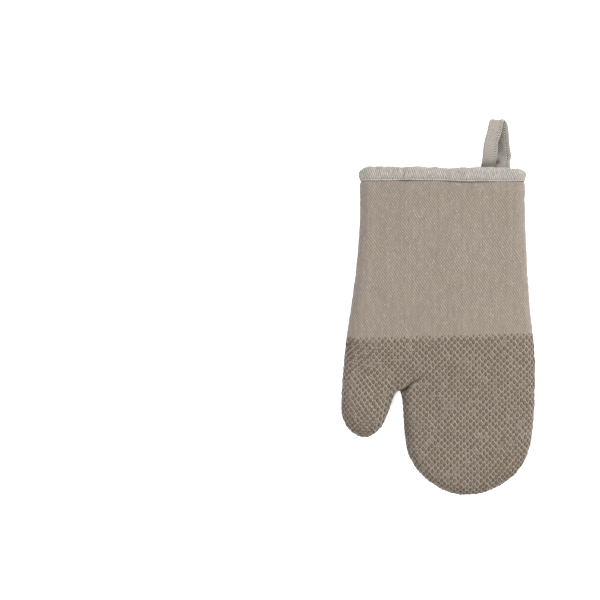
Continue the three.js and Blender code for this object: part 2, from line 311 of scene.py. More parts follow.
class Skin:
    """One face of the mitt, seam to seam, as points on the rounded edge (rings) and points on the
    flat (lattice), with the cloth's flat coordinates and the thumb's part marked."""

    def __init__(self, side, step, fine):
        self.side = side
        up = 1.0 if side == "palm" else -1.0
        line, self.arc = outline_points(step, fine)
        n_in = inward_of(line)
        self.line, self.n_in = line, n_in
        N, K = len(line), len(PHI)
        self.N, self.K = N, K
        s, h = section(side, PHI)
        ring_xy = line[None] + n_in[None] * s[:, None, None]
        inner = ring_xy[-1]
        # split line between the thumb's part and the rest
        half = np.argmax(line[:, 1] < -60)
        self.j1 = int(np.argmin(np.abs(line[:half, 1] + 33.0)))
        dc = np.linalg.norm(line - CROTCH, axis=1)
        near = np.where(dc < 6)[0]
        self.j2 = int(near[np.argmax(n_in[near, 1])])
        a, b = inner[self.j1], inner[self.j2]
        m = max(2, int(np.linalg.norm(b - a) / step))
        split = a + (b - a) * np.linspace(0, 1, m + 1)[1:-1, None]
        # mouth edge
        x0, x1 = inner[0, 0], inner[-1, 0]
        m = max(2, int((x1 - x0) / step))
        mouth = np.stack([np.linspace(x1, x0, m + 1)[1:-1], np.full(m - 1, MOUTH_END)], 1)
        # lattice
        gx = np.arange(-90, 92, step)
        rows = []
        for i, yy in enumerate(np.arange(-174, MOUTH_END - 0.6 * step, step * 0.866)):
            rows.append(np.stack([gx + (0.5 * step if i % 2 else 0), np.full(len(gx), yy)], 1))
        grid = np.vstack(rows)
        if fine < 1.0 and side == "palm":   # finer round the crease
            fx, fy = np.meshgrid(np.arange(-40, -12, 0.42), np.arange(-82, -60, 0.38))
            extra = np.stack([fx.ravel() + 0.21 * (np.arange(fy.size) // fx.shape[1] % 2), fy.ravel()], 1)
            dl, _, _ = to_line(extra, CREASE)
            dl2, _, _ = to_line(grid, CREASE)
            grid = np.vstack([grid[dl2 > 4.3], extra[dl < 3.9]])
        grid = grid[inside(grid, dense)]
        d, _, _ = to_edge(grid)
        grid = grid[d > EDGE_R + 0.55 * step * 0.8]
        ds, _, _ = to_line(grid, np.vstack([a, b]))
        grid = grid[ds > 0.5 * step]
        flat2d = np.vstack([inner, mouth, split, grid])
        n_m, n_s = len(mouth), len(split)
        loop = list(range(N)) + list(range(N, N + n_m))
        edges = [(loop[i], loop[(i + 1) % len(loop)]) for i in range(len(loop))]
        chain = [self.j1] + list(range(N + n_m, N + n_m + n_s)) + [self.j2]
        edges += list(zip(chain[:-1], chain[1:]))
        v, _, f, orig, _, _ = delaunay_2d_cdt([Vector(map(float, q)) for q in flat2d], edges, [], 1, 1e-6)
        back = np.array([o[0] for o in orig])
        tri = np.array([[back[i] for i in t] for t in f], int)
        q = flat2d[tri]
        area = (q[:, 1, 0] - q[:, 0, 0]) * (q[:, 2, 1] - q[:, 0, 1]) - (q[:, 1, 1] - q[:, 0, 1]) * (q[:, 2, 0] - q[:, 0, 0])
        tri = tri[np.abs(area) > 1e-9]
        area = area[np.abs(area) > 1e-9]
        tri[area < 0] = tri[area < 0][:, ::-1]
        poly = np.vstack([inner[self.j1:self.j2 + 1], split[::-1]])
        thumb_tri = inside(flat2d[tri].mean(1), poly)
        # numbering: rings 0..K-1 (each N), then the rest of the flat points
        tri = np.where(tri < N, tri + (K - 1) * N, tri - N + K * N)
        quads, quad_thumb = [], []
        for i in range(K - 1):
            j = np.arange(N - 1)
            a0 = i * N + j
            quads.append(np.stack([a0, a0 + 1, a0 + 1 + N, a0 + N], 1))
            quad_thumb.append((j >= self.j1) & (j < self.j2))
        quads, quad_thumb = np.vstack(quads), np.concatenate(quad_thumb)
        rest = flat2d[N:]
        xy = np.vstack([ring_xy.reshape(-1, 2), rest])
        dist = np.concatenate([np.repeat(s, N), to_edge(rest)[0]])
        arc = np.concatenate([np.tile(self.arc, K), to_edge(rest)[1]])
        height = np.concatenate([np.repeat(h, N), np.full(len(rest), h[-1])])
        height = height + crown(side, dist)
        # flat cloth coordinates: the edge laid out flat
        arc_l = np.interp(PHI, *ARC[side])
        flat_ring = line[None] + n_in[None] * (arc_l - arc_l[-1] + EDGE_R)[:, None, None]
        self.flat = np.vstack([flat_ring.reshape(-1, 2), rest])
        # soften the ridge lines of the crown
        tris_all = np.vstack([quads[:, [0, 1, 2]], quads[:, [0, 2, 3]], tri])
        nb_a = np.concatenate([tris_all[:, 0], tris_all[:, 1], tris_all[:, 2]])
        nb_b = np.concatenate([tris_all[:, 1], tris_all[:, 2], tris_all[:, 0]])
        free = smooth(6.5, 9.5, dist) * (1 - smooth(120, 126, xy[:, 1]))
        count = np.bincount(nb_a, minlength=len(xy)) + np.bincount(nb_b, minlength=len(xy))
        for _ in range(14):
            tot = np.bincount(nb_a, height[nb_b], len(xy)) + np.bincount(nb_b, height[nb_a], len(xy))
            height = height + free * 0.6 * (tot / np.maximum(count, 1) - height)
        z = SEAM_Z + up * height
        if side == "back":
            z = 0.5 * (z + np.sqrt(z ** 2 + 1.1 ** 2)) - 0.25
        p = np.column_stack([xy, z])
        if side == "back":
            quads, tri = quads[:, ::-1], tri[:, ::-1]
            tris_all = tris_all[:, ::-1]
        n0 = vertex_normals(p, tris_all)
        n0[:N, 2] = 0
        n0[:N] /= np.linalg.norm(n0[:N], axis=1)[:, None]
        edge_row = np.abs(xy[:, 1] - MOUTH_END) < 1e-6
        n0[edge_row, 1] = 0
        n0 /= np.linalg.norm(n0, axis=1)[:, None]
        out = relief(side, xy, dist, arc, 1.0 if fine < 0.5 else 0.0)
        out[:N] *= 0.0
        out[N:2 * N] *= 0.5
        out[:N] -= 1.15 * smooth(112.8, 116.2, xy[:N, 1])
        if side == "back":   # the table holds the underside flat
            lying = smooth(-0.75, -0.98, n0[:, 2])
            out = out * (1 - 0.8 * lying) - 0.9 * 0 * lying
        p = p + n0 * out[:, None]
        if side == "palm" and fine < 0.5:
            dl, along, hand = to_line(xy, CREASE)
            over = 0.55 * np.clip(1 - along, 0, 1) ** 0.75 * smooth(1.0, 4.0, dist) * (hand > 0) * np.exp(-((dl - 1.1) / 1.3) ** 2)
            p[:, 0] += 0.57 * over
            p[:, 1] -= 0.82 * over
        if side == "back":
            p[:, 2] = np.where(p[:, 2] < 0.35, 0.35 + (p[:, 2] - 0.35) * 0.25, p[:, 2])
            p[:, 2] = np.maximum(p[:, 2], 0.05)
        side_d = np.minimum(p[:, 0] - X0 + 1.1, X1 + 1.1 - p[:, 0])
        p[:, 1] -= 2.6 * (1 - smooth(0.0, 9.0, side_d)) ** 1.6 * smooth(116.5, MOUTH_END, p[:, 1])
        self.xy, self.dist, self.p, self.n0 = xy, dist, p, n0
        self.quads, self.tri = quads, tri
        self.tris_all = tris_all
        self.quad_thumb, self.thumb_tri = quad_thumb, thumb_tri
        self.normal = vertex_normals(p, tris_all)
        # smooth normals for offsetting the layers
        ns = n0.copy()
        for _ in range(6):
            acc = np.stack([np.bincount(nb_a, ns[nb_b, k], len(xy)) + np.bincount(nb_b, ns[nb_a, k], len(xy)) for k in range(3)], 1)
            ns = ns * 0.5 + 0.5 * acc / np.maximum(count, 1)[:, None]
            ns[:N, 2] = 0
            ns[edge_row, 1] = 0
            ns /= np.linalg.norm(ns, axis=1)[:, None]
        self.ns = ns
        self.edge_row = edge_row
        # painted shade: a dark line along the crease at the thumb's web on the palm, strongest near the crotch; none on
        # the back
        self.tone = np.zeros(len(p))
        if side == "palm":
            dl, along, hand = to_line(xy, CREASE)
            self.tone = np.clip(1.05 - along, 0, 1) ** 0.5 * np.exp(-(dl / (1.75 - 0.75 * along)) ** 2) * smooth(0.0, 1.0, dist)
        if side == "back":
            self.flat = self.flat * [-1.0, 1.0]

    def at_depth(self, t):
        """The surface moved in by t along its own normals; the stack is squeezed under the binding."""
        k = 1 - 0.18 * smooth(110, 117, self.xy[:, 1])
        return self.p - self.ns * (t * k)[:, None]

    def offset_fine(self, t):
        return self.p - self.normal * t


# ------------------------------------------------------------------ making meshes
def to_frame(p):
    return (np.asarray(p, float) + OFF) / 1000.0


def new_mesh(name, verts, faces, flat=None, normals=None, smooth_faces=True, tone=None):
    """faces is a list of int arrays, each (n, 3) or (n, 4)."""
    me = bpy.data.meshes.new(name)
    verts = to_frame(verts)
    me.vertices.add(len(verts))
    me.vertices.foreach_set("co", verts.astype(np.float32).ravel())
    loops = np.concatenate([f.ravel() for f in faces]).astype(np.int32)
    sizes = np.concatenate([np.full(len(f), f.shape[1]) for f in faces]).astype(np.int32)
    starts = np.concatenate([[0], np.cumsum(sizes)[:-1]]).astype(np.int32)
    me.loops.add(len(loops))
    me.loops.foreach_set("vertex_index", loops)
    me.polygons.add(len(sizes))
    me.polygons.foreach_set("loop_start", starts)
    me.polygons.foreach_set("use_smooth", np.full(len(sizes), smooth_faces))
    me.update(calc_edges=True)
    if flat is not None:
        at = me.attributes.new("flat", "FLOAT_VECTOR", "POINT")
        f3 = np.zeros((len(verts), 3), np.float32)
        f3[:, : flat.shape[1]] = flat
        at.data.foreach_set("vector", f3.ravel())
    # per-vertex painted shade for the cloth layers, tape and strap; on the dots it holds a random value per dot
    if tone is not None:
        at = me.attributes.new("tone", "FLOAT", "POINT")
        at.data.foreach_set("value", np.asarray(tone, np.float32))
    me.validate()
    if normals is not None:
        me.normals_split_custom_set_from_vertices([tuple(map(float, q)) for q in normals])
    ob = bpy.data.objects.new(name, me)
    bpy.context.scene.collection.objects.link(ob)
    return ob


def boundary_loop_quads(tris, quads, offset):
    """Quads that close the rim between a surface and its copy `offset` further on."""
    e = {}
    for arr in (quads, tris):
        if arr is None or len(arr) == 0:
            continue
        k = arr.shape[1]
        for i in range(k):
            for a, b in zip(arr[:, i].tolist(), arr[:, (i + 1) % k].tolist()):
                e[(a, b)] = True
    rim = [(a, b) for a, b in e if (b, a) not in e]
    rim = np.array(rim, int)
    return np.stack([rim[:, 1], rim[:, 0], rim[:, 0] + offset, rim[:, 1] + offset], 1)


def shell(name, skin, outer, inner, thumb, normals=True):
    """A closed layer between two depths of a skin: the thumb's part of it or all the rest."""
    q = skin.quads[skin.quad_thumb == thumb]
    t = skin.tri[skin.thumb_tri == thumb]
    used = np.unique(np.concatenate([q.ravel(), t.ravel()]))
    new = np.full(len(skin.p), -1)
    new[used] = np.arange(len(used))
    q, t = new[q], new[t]
    n = len(used)
    rim = boundary_loop_quads(t, q, n)
    top = outer[used]
    low = inner[used]
    verts = np.vstack([top, low])
    flat = np.vstack([skin.flat[used], skin.flat[used]])
    nn = None
    if normals:
        tn = vertex_normals(outer, skin.tris_all)[used]
        nn = np.vstack([tn, -tn])
    tone = np.concatenate([skin.tone[used], skin.tone[used]])
    return new_mesh(name, verts, [q, t, q[:, ::-1] + n, t[:, ::-1] + n, rim], flat, nn, tone=tone)


# ------------------------------------------------------------------ materials
def mat(name, rough, spec=0.35, sheen=0.0, sheen_rough=0.5, sheen_tint=(1, 1, 1)):
    m = bpy.data.materials.new(name)
    m.use_nodes = True
    nt = m.node_tree
    nt.nodes.clear()
    out = nt.nodes.new("ShaderNodeOutputMaterial")
    bsdf = nt.nodes.new("ShaderNodeBsdfPrincipled")
    nt.links.new(bsdf.outputs[0], out.inputs[0])
    bsdf.inputs["Roughness"].default_value = rough
    bsdf.inputs["Specular IOR Level"].default_value = spec
    bsdf.inputs["Sheen Weight"].default_value = sheen
    bsdf.inputs["Sheen Roughness"].default_value = sheen_rough
    bsdf.inputs["Sheen Tint"].default_value = (*sheen_tint, 1)
    return m, nt, bsdf


class G:
    """Small helper to write shader arithmetic."""

    def __init__(self, nt):
        self.nt = nt

    def _in(self, socket, value):
        if isinstance(value, bpy.types.NodeSocket):
            self.nt.links.new(value, socket)
        elif isinstance(value, (tuple, list)):
            socket.default_value = value
        else:
            socket.default_value = value

    def m(self, op, a, b=None, c=None, clamp=False):
        n = self.nt.nodes.new("ShaderNodeMath")
        n.operation = op
        n.use_clamp = clamp
        self._in(n.inputs[0], a)
        if b is not None:
            self._in(n.inputs[1], b)
        if c is not None:
            self._in(n.inputs[2], c)
        return n.outputs[0]

    def step(self, x, lo, hi, to_lo=0.0, to_hi=1.0):
        n = self.nt.nodes.new("ShaderNodeMapRange")
        n.interpolation_type = "SMOOTHSTEP"
        self._in(n.inputs["Value"], x)
        n.inputs["From Min"].default_value = lo
        n.inputs["From Max"].default_value = hi
        n.inputs["To Min"].default_value = to_lo
        n.inputs["To Max"].default_value = to_hi
        return n.outputs[0]

    def mix(self, f, a, b):
        n = self.nt.nodes.new("ShaderNodeMix")
        n.data_type = "RGBA"
        self._in(n.inputs[0], f)
        self._in(n.inputs[6], a if not isinstance(a, tuple) else (*a, 1))
        self._in(n.inputs[7], b if not isinstance(b, tuple) else (*b, 1))
        return n.outputs[2]

    def scale(self, colour, f):
        n = self.nt.nodes.new("ShaderNodeVectorMath")
        n.operation = "SCALE"
        self._in(n.inputs[0], colour)
        self._in(n.inputs["Scale"], f)
        return n.outputs[0]

    def times(self, a, b):
        n = self.nt.nodes.new("ShaderNodeVectorMath")
        n.operation = "MULTIPLY"
        self._in(n.inputs[0], a)
        self._in(n.inputs[1], b)
        return n.outputs[0]

    def xyz(self, x, y, z=0.0):
        n = self.nt.nodes.new("ShaderNodeCombineXYZ")
        self._in(n.inputs[0], x)
        self._in(n.inputs[1], y)
        self._in(n.inputs[2], z)
        return n.outputs[0]

    def sep(self, v):
        n = self.nt.nodes.new("ShaderNodeSeparateXYZ")
        self._in(n.inputs[0], v)
        return n.outputs

    def noise(self, vec, scale, detail=2.0, rough=0.5):
        n = self.nt.nodes.new("ShaderNodeTexNoise")
        self._in(n.inputs["Vector"], vec)
        n.inputs["Scale"].default_value = scale
        n.inputs["Detail"].default_value = detail
        n.inputs["Roughness"].default_value = rough
        return n.outputs[0]

    def white(self, vec):
        n = self.nt.nodes.new("ShaderNodeTexWhiteNoise")
        n.noise_dimensions = "3D"
        self._in(n.inputs["Vector"], vec)
        return n.outputs[0]

    def flat(self):
        n = self.nt.nodes.new("ShaderNodeAttribute")
        n.attribute_name = "flat"
        return n.outputs["Vector"]

    # reads the per-vertex painted shade, which is a random value per dot on the dots
    def tone(self):
        n = self.nt.nodes.new("ShaderNodeAttribute")
        n.attribute_name = "tone"
        return n.outputs["Fac"]

    def bump(self, height, metres, strength=1.0, normal=None):
        n = self.nt.nodes.new("ShaderNodeBump")
        n.inputs["Strength"].default_value = strength
        n.inputs["Distance"].default_value = metres
        self._in(n.inputs["Height"], height)
        if normal is not None:
            self._in(n.inputs["Normal"], normal)
        return n.outputs[0]


def twill(name, light, dark, across, along, yarns=4, contrast=1.0, mottle=0.05, slub=0.25, relief_mm=0.22, angle=0.0, hand=1.0, jitter=0.12, flecks=0.93, rough=0.9, sheen=0.25, fleck_colour=(0.42, 0.39, 0.35)):
    """Warp-faced twill. across and along are the ribs' spacing, in millimetres, along the weft and
    along the warp; the ribs fall to the right."""
    m, nt, bsdf = mat(name, rough, 0.25, sheen, 0.45, (1.0, 0.97, 0.93))
    g = G(nt)
    f = g.flat()
    x, y, _ = g.sep(f)
    if hand < 0:
        x = g.m("MULTIPLY", x, -1.0)
    # slow waviness of the yarns
    wob = g.m("SUBTRACT", g.noise(g.scale(f, 0.035), 1.0, 2.0), 0.5)
    wob2 = g.m("SUBTRACT", g.noise(g.scale(f, 0.16), 1.0, 1.0), 0.5)
    if angle:
        ca, sa = math.cos(angle), math.sin(angle)
        x, y = (g.m("ADD", g.m("MULTIPLY", x, ca), g.m("MULTIPLY", y, -sa)),
                g.m("ADD", g.m("MULTIPLY", x, sa), g.m("MULTIPLY", y, ca)))
    u = g.m("ADD", x, g.m("ADD", g.m("MULTIPLY", wob, 3.2), g.m("MULTIPLY", wob2, 0.5)))
    v = g.m("ADD", y, g.m("MULTIPLY", wob, 2.0))
    pu = across / yarns
    cell = g.m("DIVIDE", u, pu)
    iu = g.m("FLOOR", cell)
    fu = g.m("SUBTRACT", cell, iu)
    centred = g.m("SUBTRACT", g.m("MULTIPLY", fu, 2.0), 1.0)
    round_u = g.m("SQRT", g.m("MAXIMUM", g.m("SUBTRACT", 1.0, g.m("MULTIPLY", centred, centred)), 0.0))
    phase = g.m("ADD", g.m("DIVIDE", iu, float(yarns)), g.m("DIVIDE", v, along))
    phase = g.m("ADD", phase, g.m("MULTIPLY", g.white(g.xyz(iu, 1.0)), jitter))
    t = g.m("FRACT", phase)
    pick = g.m("FLOOR", phase)
    # the float lies on top for most of the repeat and dives for the rest
    top = g.m("SINE", g.m("MULTIPLY", g.m("MINIMUM", g.m("DIVIDE", t, 0.74), 1.0), math.pi))
    top = g.m("POWER", g.m("MAXIMUM", top, 0.0), 0.55)
    height = g.m("MULTIPLY", top, g.m("ADD", g.m("MULTIPLY", round_u, 0.55), 0.45))
    each = g.white(g.xyz(iu, 3.0))
    each2 = g.white(g.xyz(iu, pick, 5.0))
    run = g.noise(g.xyz(g.m("MULTIPLY", iu, 0.73), g.m("MULTIPLY", v, 0.045), 2.0), 1.0, 2.0, 0.6)
    streak = g.noise(g.xyz(g.m("MULTIPLY", x, 0.09), g.m("MULTIPLY", y, 0.012), 7.0), 1.0, 3.0, 0.6)
    big = g.noise(g.scale(f, 0.022), 1.0, 2.0, 0.5)
    shade = g.m("ADD", 1.0, g.m("MULTIPLY", g.m("SUBTRACT", each, 0.5), 0.10))
    shade = g.m("ADD", shade, g.m("MULTIPLY", g.m("SUBTRACT", each2, 0.5), 0.16))
    shade = g.m("ADD", shade, g.m("MULTIPLY", g.m("SUBTRACT", run, 0.5), 0.30))
    shade = g.m("ADD", shade, g.m("MULTIPLY", g.m("SUBTRACT", streak, 0.5), mottle * 2.4))
    shade = g.m("ADD", shade, g.m("MULTIPLY", g.m("SUBTRACT", big, 0.5), mottle * 2.0))
    fleck = g.step(g.white(g.xyz(iu, pick, 9.0)), flecks, min(flecks + 0.10, 1.0))
    fleck = g.m("MULTIPLY", fleck, g.step(g.m("ABSOLUTE", g.m("SUBTRACT", t, 0.34)), 0.30, 0.10))
    fleck = g.m("MULTIPLY", fleck, g.m("MULTIPLY", round_u, slub))
    # painted shade, together with the yarn's own colour: the colour follows the float's height, darker where the yarn
    # dives and lighter on its top
    fac = g.m("ADD", g.m("MULTIPLY", g.m("SUBTRACT", height, 0.5), contrast), 0.5, clamp=True)
    col = g.scale(g.mix(fac, dark, light), shade)
    warm = g.noise(g.xyz(g.m("MULTIPLY", x, 0.22), g.m("MULTIPLY", y, 0.07), 11.0), 1.0, 4.0, 0.65)
    col = g.times(col, g.mix(g.step(warm, 0.36, 0.64), (1.010, 1.0, 0.985), (0.994, 1.0, 1.006)))
    nub = g.step(g.white(g.xyz(iu, pick, 13.0)), 0.955, 1.0)
    col = g.mix(g.m("MULTIPLY", nub, 0.35), col, (0.085, 0.062, 0.045))
    col = g.mix(fleck, col, fleck_colour)
    # painted shade: where the per-vertex shade value is high the cloth turns dark brown and loses its sheen and
    # specular
    col = g.mix(g.m("MULTIPLY", g.tone(), 0.93, clamp=True), col, (0.052, 0.034, 0.022))
    nt.links.new(col, bsdf.inputs["Base Color"])
    nt.links.new(g.m("MULTIPLY", g.m("SUBTRACT", 1.0, g.tone(), clamp=True), sheen), bsdf.inputs["Sheen Weight"])
    nt.links.new(g.m("MULTIPLY", g.m("SUBTRACT", 1.0, g.tone(), clamp=True), 0.25), bsdf.inputs["Specular IOR Level"])
    fuzz = g.noise(f, 2.6, 3.0, 0.7)
    hh = g.m("ADD", g.m("MULTIPLY", height, g.m("ADD", 0.85, g.m("MULTIPLY", each2, 0.3))), g.m("MULTIPLY", fuzz, 0.25))
    nt.links.new(g.bump(hh, relief_mm / 1000), bsdf.inputs["Normal"])
    return m


def plain_weave(name, light, dark, pitch, rough=0.9):
    m, nt, bsdf = mat(name, rough, 0.25, 0.2, 0.5)
    g = G(nt)
    f = g.flat()
    x, y, _ = g.sep(f)
    sx = g.m("SINE", g.m("MULTIPLY", x, math.pi / pitch))
    sy = g.m("SINE", g.m("MULTIPLY", y, math.pi / pitch))
    h = g.m("ADD", g.m("MULTIPLY", g.m("MULTIPLY", sx, sy), 0.5), 0.5)
    n = g.noise(g.scale(f, 0.5), 1.0, 3.0)
    shade = g.m("ADD", 0.9, g.m("MULTIPLY", n, 0.2))
    nt.links.new(g.scale(g.mix(h, dark, light), shade), bsdf.inputs["Base Color"])
    nt.links.new(g.bump(h, 0.00012), bsdf.inputs["Normal"])
    return m


def silicone(name):
    m, nt, bsdf = mat(name, 0.5, 0.28)
    g = G(nt)
    f = g.flat()
    _, _, hgt = g.sep(f)
    each = g.tone()
    n = g.noise(g.scale(f, 0.05), 1.0, 2.0)
    n2 = g.noise(f, 0.9, 3.0, 0.6)
    shade = g.m("ADD", 0.70, g.m("ADD", g.m("MULTIPLY", n, 0.25), g.m("MULTIPLY", n2, 0.18)))
    shade = g.m("ADD", shade, g.m("MULTIPLY", g.step(each, 0.0, 1.0), 0.14))
    # painted shade: each dome darkens to near black at its rim and is lighter towards its top
    col = g.scale(g.mix(g.step(hgt, 0.22, 0.50), (0.019, 0.0135, 0.0085), (0.112, 0.085, 0.058)), shade)
    # painted highlight: a pale spot on the top of a few dots
    painted_glint = g.m("MULTIPLY", g.step(each, 0.93, 1.0), g.step(hgt, 0.40, 0.52))
    col = g.mix(g.m("MULTIPLY", painted_glint, 0.30), col, (0.36, 0.32, 0.27))
    nt.links.new(col, bsdf.inputs["Base Color"])
    gloss = g.step(each, 0.72, 0.95)
    nt.links.new(g.m("SUBTRACT", 0.60, g.m("MULTIPLY", gloss, 0.26)), bsdf.inputs["Roughness"])
    nt.links.new(g.m("ADD", 0.14, g.m("MULTIPLY", gloss, 0.20)), bsdf.inputs["Specular IOR Level"])
    nt.links.new(g.bump(g.noise(f, 1.6, 3.0, 0.6), 0.00006), bsdf.inputs["Normal"])
    return m


def yarn(name, light, dark, lay=1.0):
    """Twisted sewing thread; flat is (along, round, 0) in millimetres."""
    m, nt, bsdf = mat(name, 0.75, 0.3, 0.3, 0.5)
    g = G(nt)
    f = g.flat()
    a, r, _ = g.sep(f)
    h = g.m("ADD", g.m("MULTIPLY", g.m("SINE", g.m("MULTIPLY", g.m("ADD", a, g.m("MULTIPLY", r, lay)), 9.0)), 0.5), 0.5)
    nt.links.new(g.mix(h, dark, light), bsdf.inputs["Base Color"])
    nt.links.new(g.bump(h, 0.00008), bsdf.inputs["Normal"])
    return m


def fleece(name, light, dark):
    m, nt, bsdf = mat(name, 0.95, 0.2, 0.4, 0.6)
    g = G(nt)
    f = g.flat()
    n = g.noise(f, 0.8, 5.0, 0.7)
    nt.links.new(g.mix(n, dark, light), bsdf.inputs["Base Color"])
    nt.links.new(g.bump(n, 0.0006), bsdf.inputs["Normal"])
    return m


M_TWILL = twill("twill_body", (0.214, 0.180, 0.149), (0.123, 0.101, 0.082), 2.33, 3.46, contrast=0.88, slub=0.50, jitter=0.08, flecks=0.85, fleck_colour=(0.36, 0.33, 0.295))
M_TAPE = twill("twill_tape", (0.305, 0.285, 0.260), (0.140, 0.126, 0.112), 1.9, 5.4, yarns=3, contrast=0.95, mottle=0.05, slub=0.6, jitter=0.15, flecks=0.86, fleck_colour=(0.46, 0.44, 0.41))
M_STRAP = twill("twill_strap", (0.312, 0.290, 0.265), (0.105, 0.092, 0.081), 1.9, 1.9, yarns=3, contrast=1.1, mottle=0.04, slub=0.6, jitter=0.12, flecks=0.88, hand=-1.0, fleck_colour=(0.46, 0.44, 0.41))
M_LINING = plain_weave("cotton_lining", (0.62, 0.56, 0.48), (0.42, 0.37, 0.30), 0.55)
M_WAD = fleece("wadding_fleece", (0.86, 0.84, 0.79), (0.7, 0.67, 0.6))
M_GRIP = silicone("silicone_dots")
M_THREAD = yarn("thread_greige", (0.46, 0.435, 0.40), (0.27, 0.25, 0.225))
M_THREAD_DARK = yarn("thread_seam", (0.22, 0.19, 0.162), (0.12, 0.1, 0.085))


def finish_piece(ob, material):
    ob.data.materials.append(material)
    return ob


def bend_fingers(ob):
    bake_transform(ob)


def bend_thumb(ob):
    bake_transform(ob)


skins = {s: Skin(s, 1.3, 0.05) for s in ("palm", "back")}
coarse = {s: Skin(s, 2.6, 1.0) for s in ("palm", "back")}
T_COVER, T_WAD0, T_WAD1, T_LIN0, T_LIN1 = 0.9, 1.35, 5.0, 5.3, 5.8

for side in ("palm", "back"):
    sk = skins[side]
    ck = coarse[side]
    for thumb in (False, True):
        tag = "thumb" if thumb else "hand"
        bend = bend_thumb if thumb else bend_fingers
        cover = shell(f"{side}_cover_{tag}", sk, sk.p, sk.at_depth(T_COVER), thumb)
        finish_piece(cover, M_TWILL)
        wad = shell(f"{side}_batting_{tag}", ck, ck.at_depth(T_WAD0), ck.at_depth(T_WAD1), thumb)
        finish_piece(wad, M_WAD)
        lin = shell(f"{side}_inner_lining_{tag}", ck, ck.at_depth(T_LIN0), ck.at_depth(T_LIN1), thumb)
        finish_piece(lin, M_LINING)
        zones = ["thumb"] if thumb else ["gauntlet", "fingers"]
        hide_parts(*[f"{side}_shell_{z}" for z in zones])
        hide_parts(*[f"{side}_wadding_{z}" for z in zones])
        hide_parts(*[f"{side}_lining_{z}" for z in zones])
        for ob in (cover, wad, lin):
            bend(ob)

# ------------------------------------------------------------------ placing things on the palm
palm = skins["palm"]
_tree = BVHTree.FromPolygons([tuple(q) for q in palm.p], [tuple(map(int, t)) for t in palm.tris_all])
RING_P = palm.p[: palm.N * palm.K].reshape(palm.K, palm.N, 3)


def on_palm(q, only=None):
    """Points of the palm's surface for flat cloth coordinates q, and whether each is on the cloth."""
    q = np.asarray(q, float)
    d, arc, foot = to_edge(q, only)
    within = inside(q, dense)
    signed = np.where(within, d, -d)
    ok = np.ones(len(q), bool)
    from_seam = signed - EDGE_R + EDGE_L
    ring = signed < EDGE_R
    ok &= from_seam > 2.0
    way = (q - foot) / np.maximum(d, 1e-6)[:, None] * np.where(within, 1, -1)[:, None]
    phi = np.interp(from_seam, ARC["palm"][1], ARC["palm"][0])
    plan = np.where(ring[:, None], foot + way * section("palm", phi)[0][:, None], q)
    out = np.zeros((len(q), 3))
    for i in np.where(ok)[0]:
        hit = _tree.ray_cast(Vector((plan[i, 0], plan[i, 1], 60.0)), Vector((0, 0, -1)))
        if hit[0] is None or hit[0][2] < SEAM_Z:
            ok[i] = False
        else:
            out[i] = hit[0]
    return out, ok


# ------------------------------------------------------------------ silicone dots
DOT_X, DOT_Y = 5.76, 2.88        # pitch along a row, and between rows that are offset by half
rows = np.arange(0, 56)
pts = []
for r_ in rows:
    y0 = -1.6 - r_ * DOT_Y
    xs = np.arange(-100, 102, DOT_X) + (DOT_X / 2 if r_ % 2 else 0)
    pts.append(np.stack([xs, np.full(len(xs), y0)], 1))
pts = np.vstack(pts)
row_all = np.concatenate([np.full(len(np.arange(-100, 102, DOT_X)), r_) for r_ in rows])
tilt = 0.0275                     # the print's upper edge rises slightly to the little-finger side
warp = np.stack([
    0.55 * waves(pts[:, 0], pts[:, 1], 75, 51) + 0.15 * waves(pts[:, 0], pts[:, 1], 24, 52),
    0.50 * waves(pts[:, 0], pts[:, 1], 80, 53) + 0.15 * waves(pts[:, 0], pts[:, 1], 26, 54)], 1)
lat = np.stack([pts[:, 0], pts[:, 1] - 25.6 + tilt * pts[:, 0]], 1) + warp * smooth(0, 14, -pts[:, 1])[:, None]
# the thumb's cloth is turned a little
rel = lat - np.array([-42.0, -70.0])
w = smooth(-8, 26, -(rel[:, 0] * 0.75 + rel[:, 1] * 0.66)) * smooth(4, -10, rel[:, 0])
ang = math.radians(-7.0) * w
lat = np.array([-42.0, -70.0]) + np.stack([rel[:, 0] * np.cos(ang) - rel[:, 1] * np.sin(ang),
                                           rel[:, 0] * np.sin(ang) + rel[:, 1] * np.cos(ang)], 1)
lat += rng.normal(0, 0.10, lat.shape)
eps = 0.4
beyond = ~inside(lat, dense)
groups = [(lat[~beyond], row_all[~beyond], None), (lat[beyond], row_all[beyond], "thumb"), (lat[beyond], row_all[beyond], "hand")]
found = []
for q_, r_, only in groups:
    c0, k0 = on_palm(q_, only)
    c1, k1 = on_palm(q_ + [eps, 0], only)
    c2, k2_ = on_palm(q_ + [0, eps], only)
    found.append((q_, r_, c0, c1, c2, k0 & k1 & k2_, np.full(len(q_), 0 if only is None else (1 if only == "thumb" else 2))))
lat, first_row, centre, px, py, ok, group = (np.concatenate(v) for v in zip(*found))
okx = oky = ok
keep = ok & okx & oky
lat, centre, px, py, row_of, group = lat[keep], centre[keep], px[keep], py[keep], first_row[keep], group[keep]
tx, ty = (px - centre) / eps, (py - centre) / eps
stretch = np.linalg.norm(tx, axis=1), np.linalg.norm(ty, axis=1)
for t_ in (tx, ty):
    ln = np.linalg.norm(t_, axis=1)
    t_ /= np.maximum(ln, 1e-9)[:, None]
nz = np.cross(tx, ty)
nz /= np.linalg.norm(nz, axis=1)[:, None]
good = nz[:, 2] > -0.2
long_x, long_y = stretch
good &= (long_x < 1.5) & (long_y < 1.5)
good &= to_line(centre[:, :2], CREASE[:-1])[0] > 1.5
# drop dots that would sit on one another where the cloth folds
order = np.arange(len(centre))
keep2 = good.copy()
from mathutils.kdtree import KDTree
kd = KDTree(len(centre))
for i, c in enumerate(centre):
    kd.insert(c, i)
kd.balance()
for i in order:
    if not keep2[i]:
        continue
    for _, j, dd in kd.find_range(centre[i], 2.6):
        if j > i:
            keep2[j] = False
lat, centre, tx, ty, nz, row_of, group = lat[keep2], centre[keep2], tx[keep2], ty[keep2], nz[keep2], row_of[keep2], group[keep2]

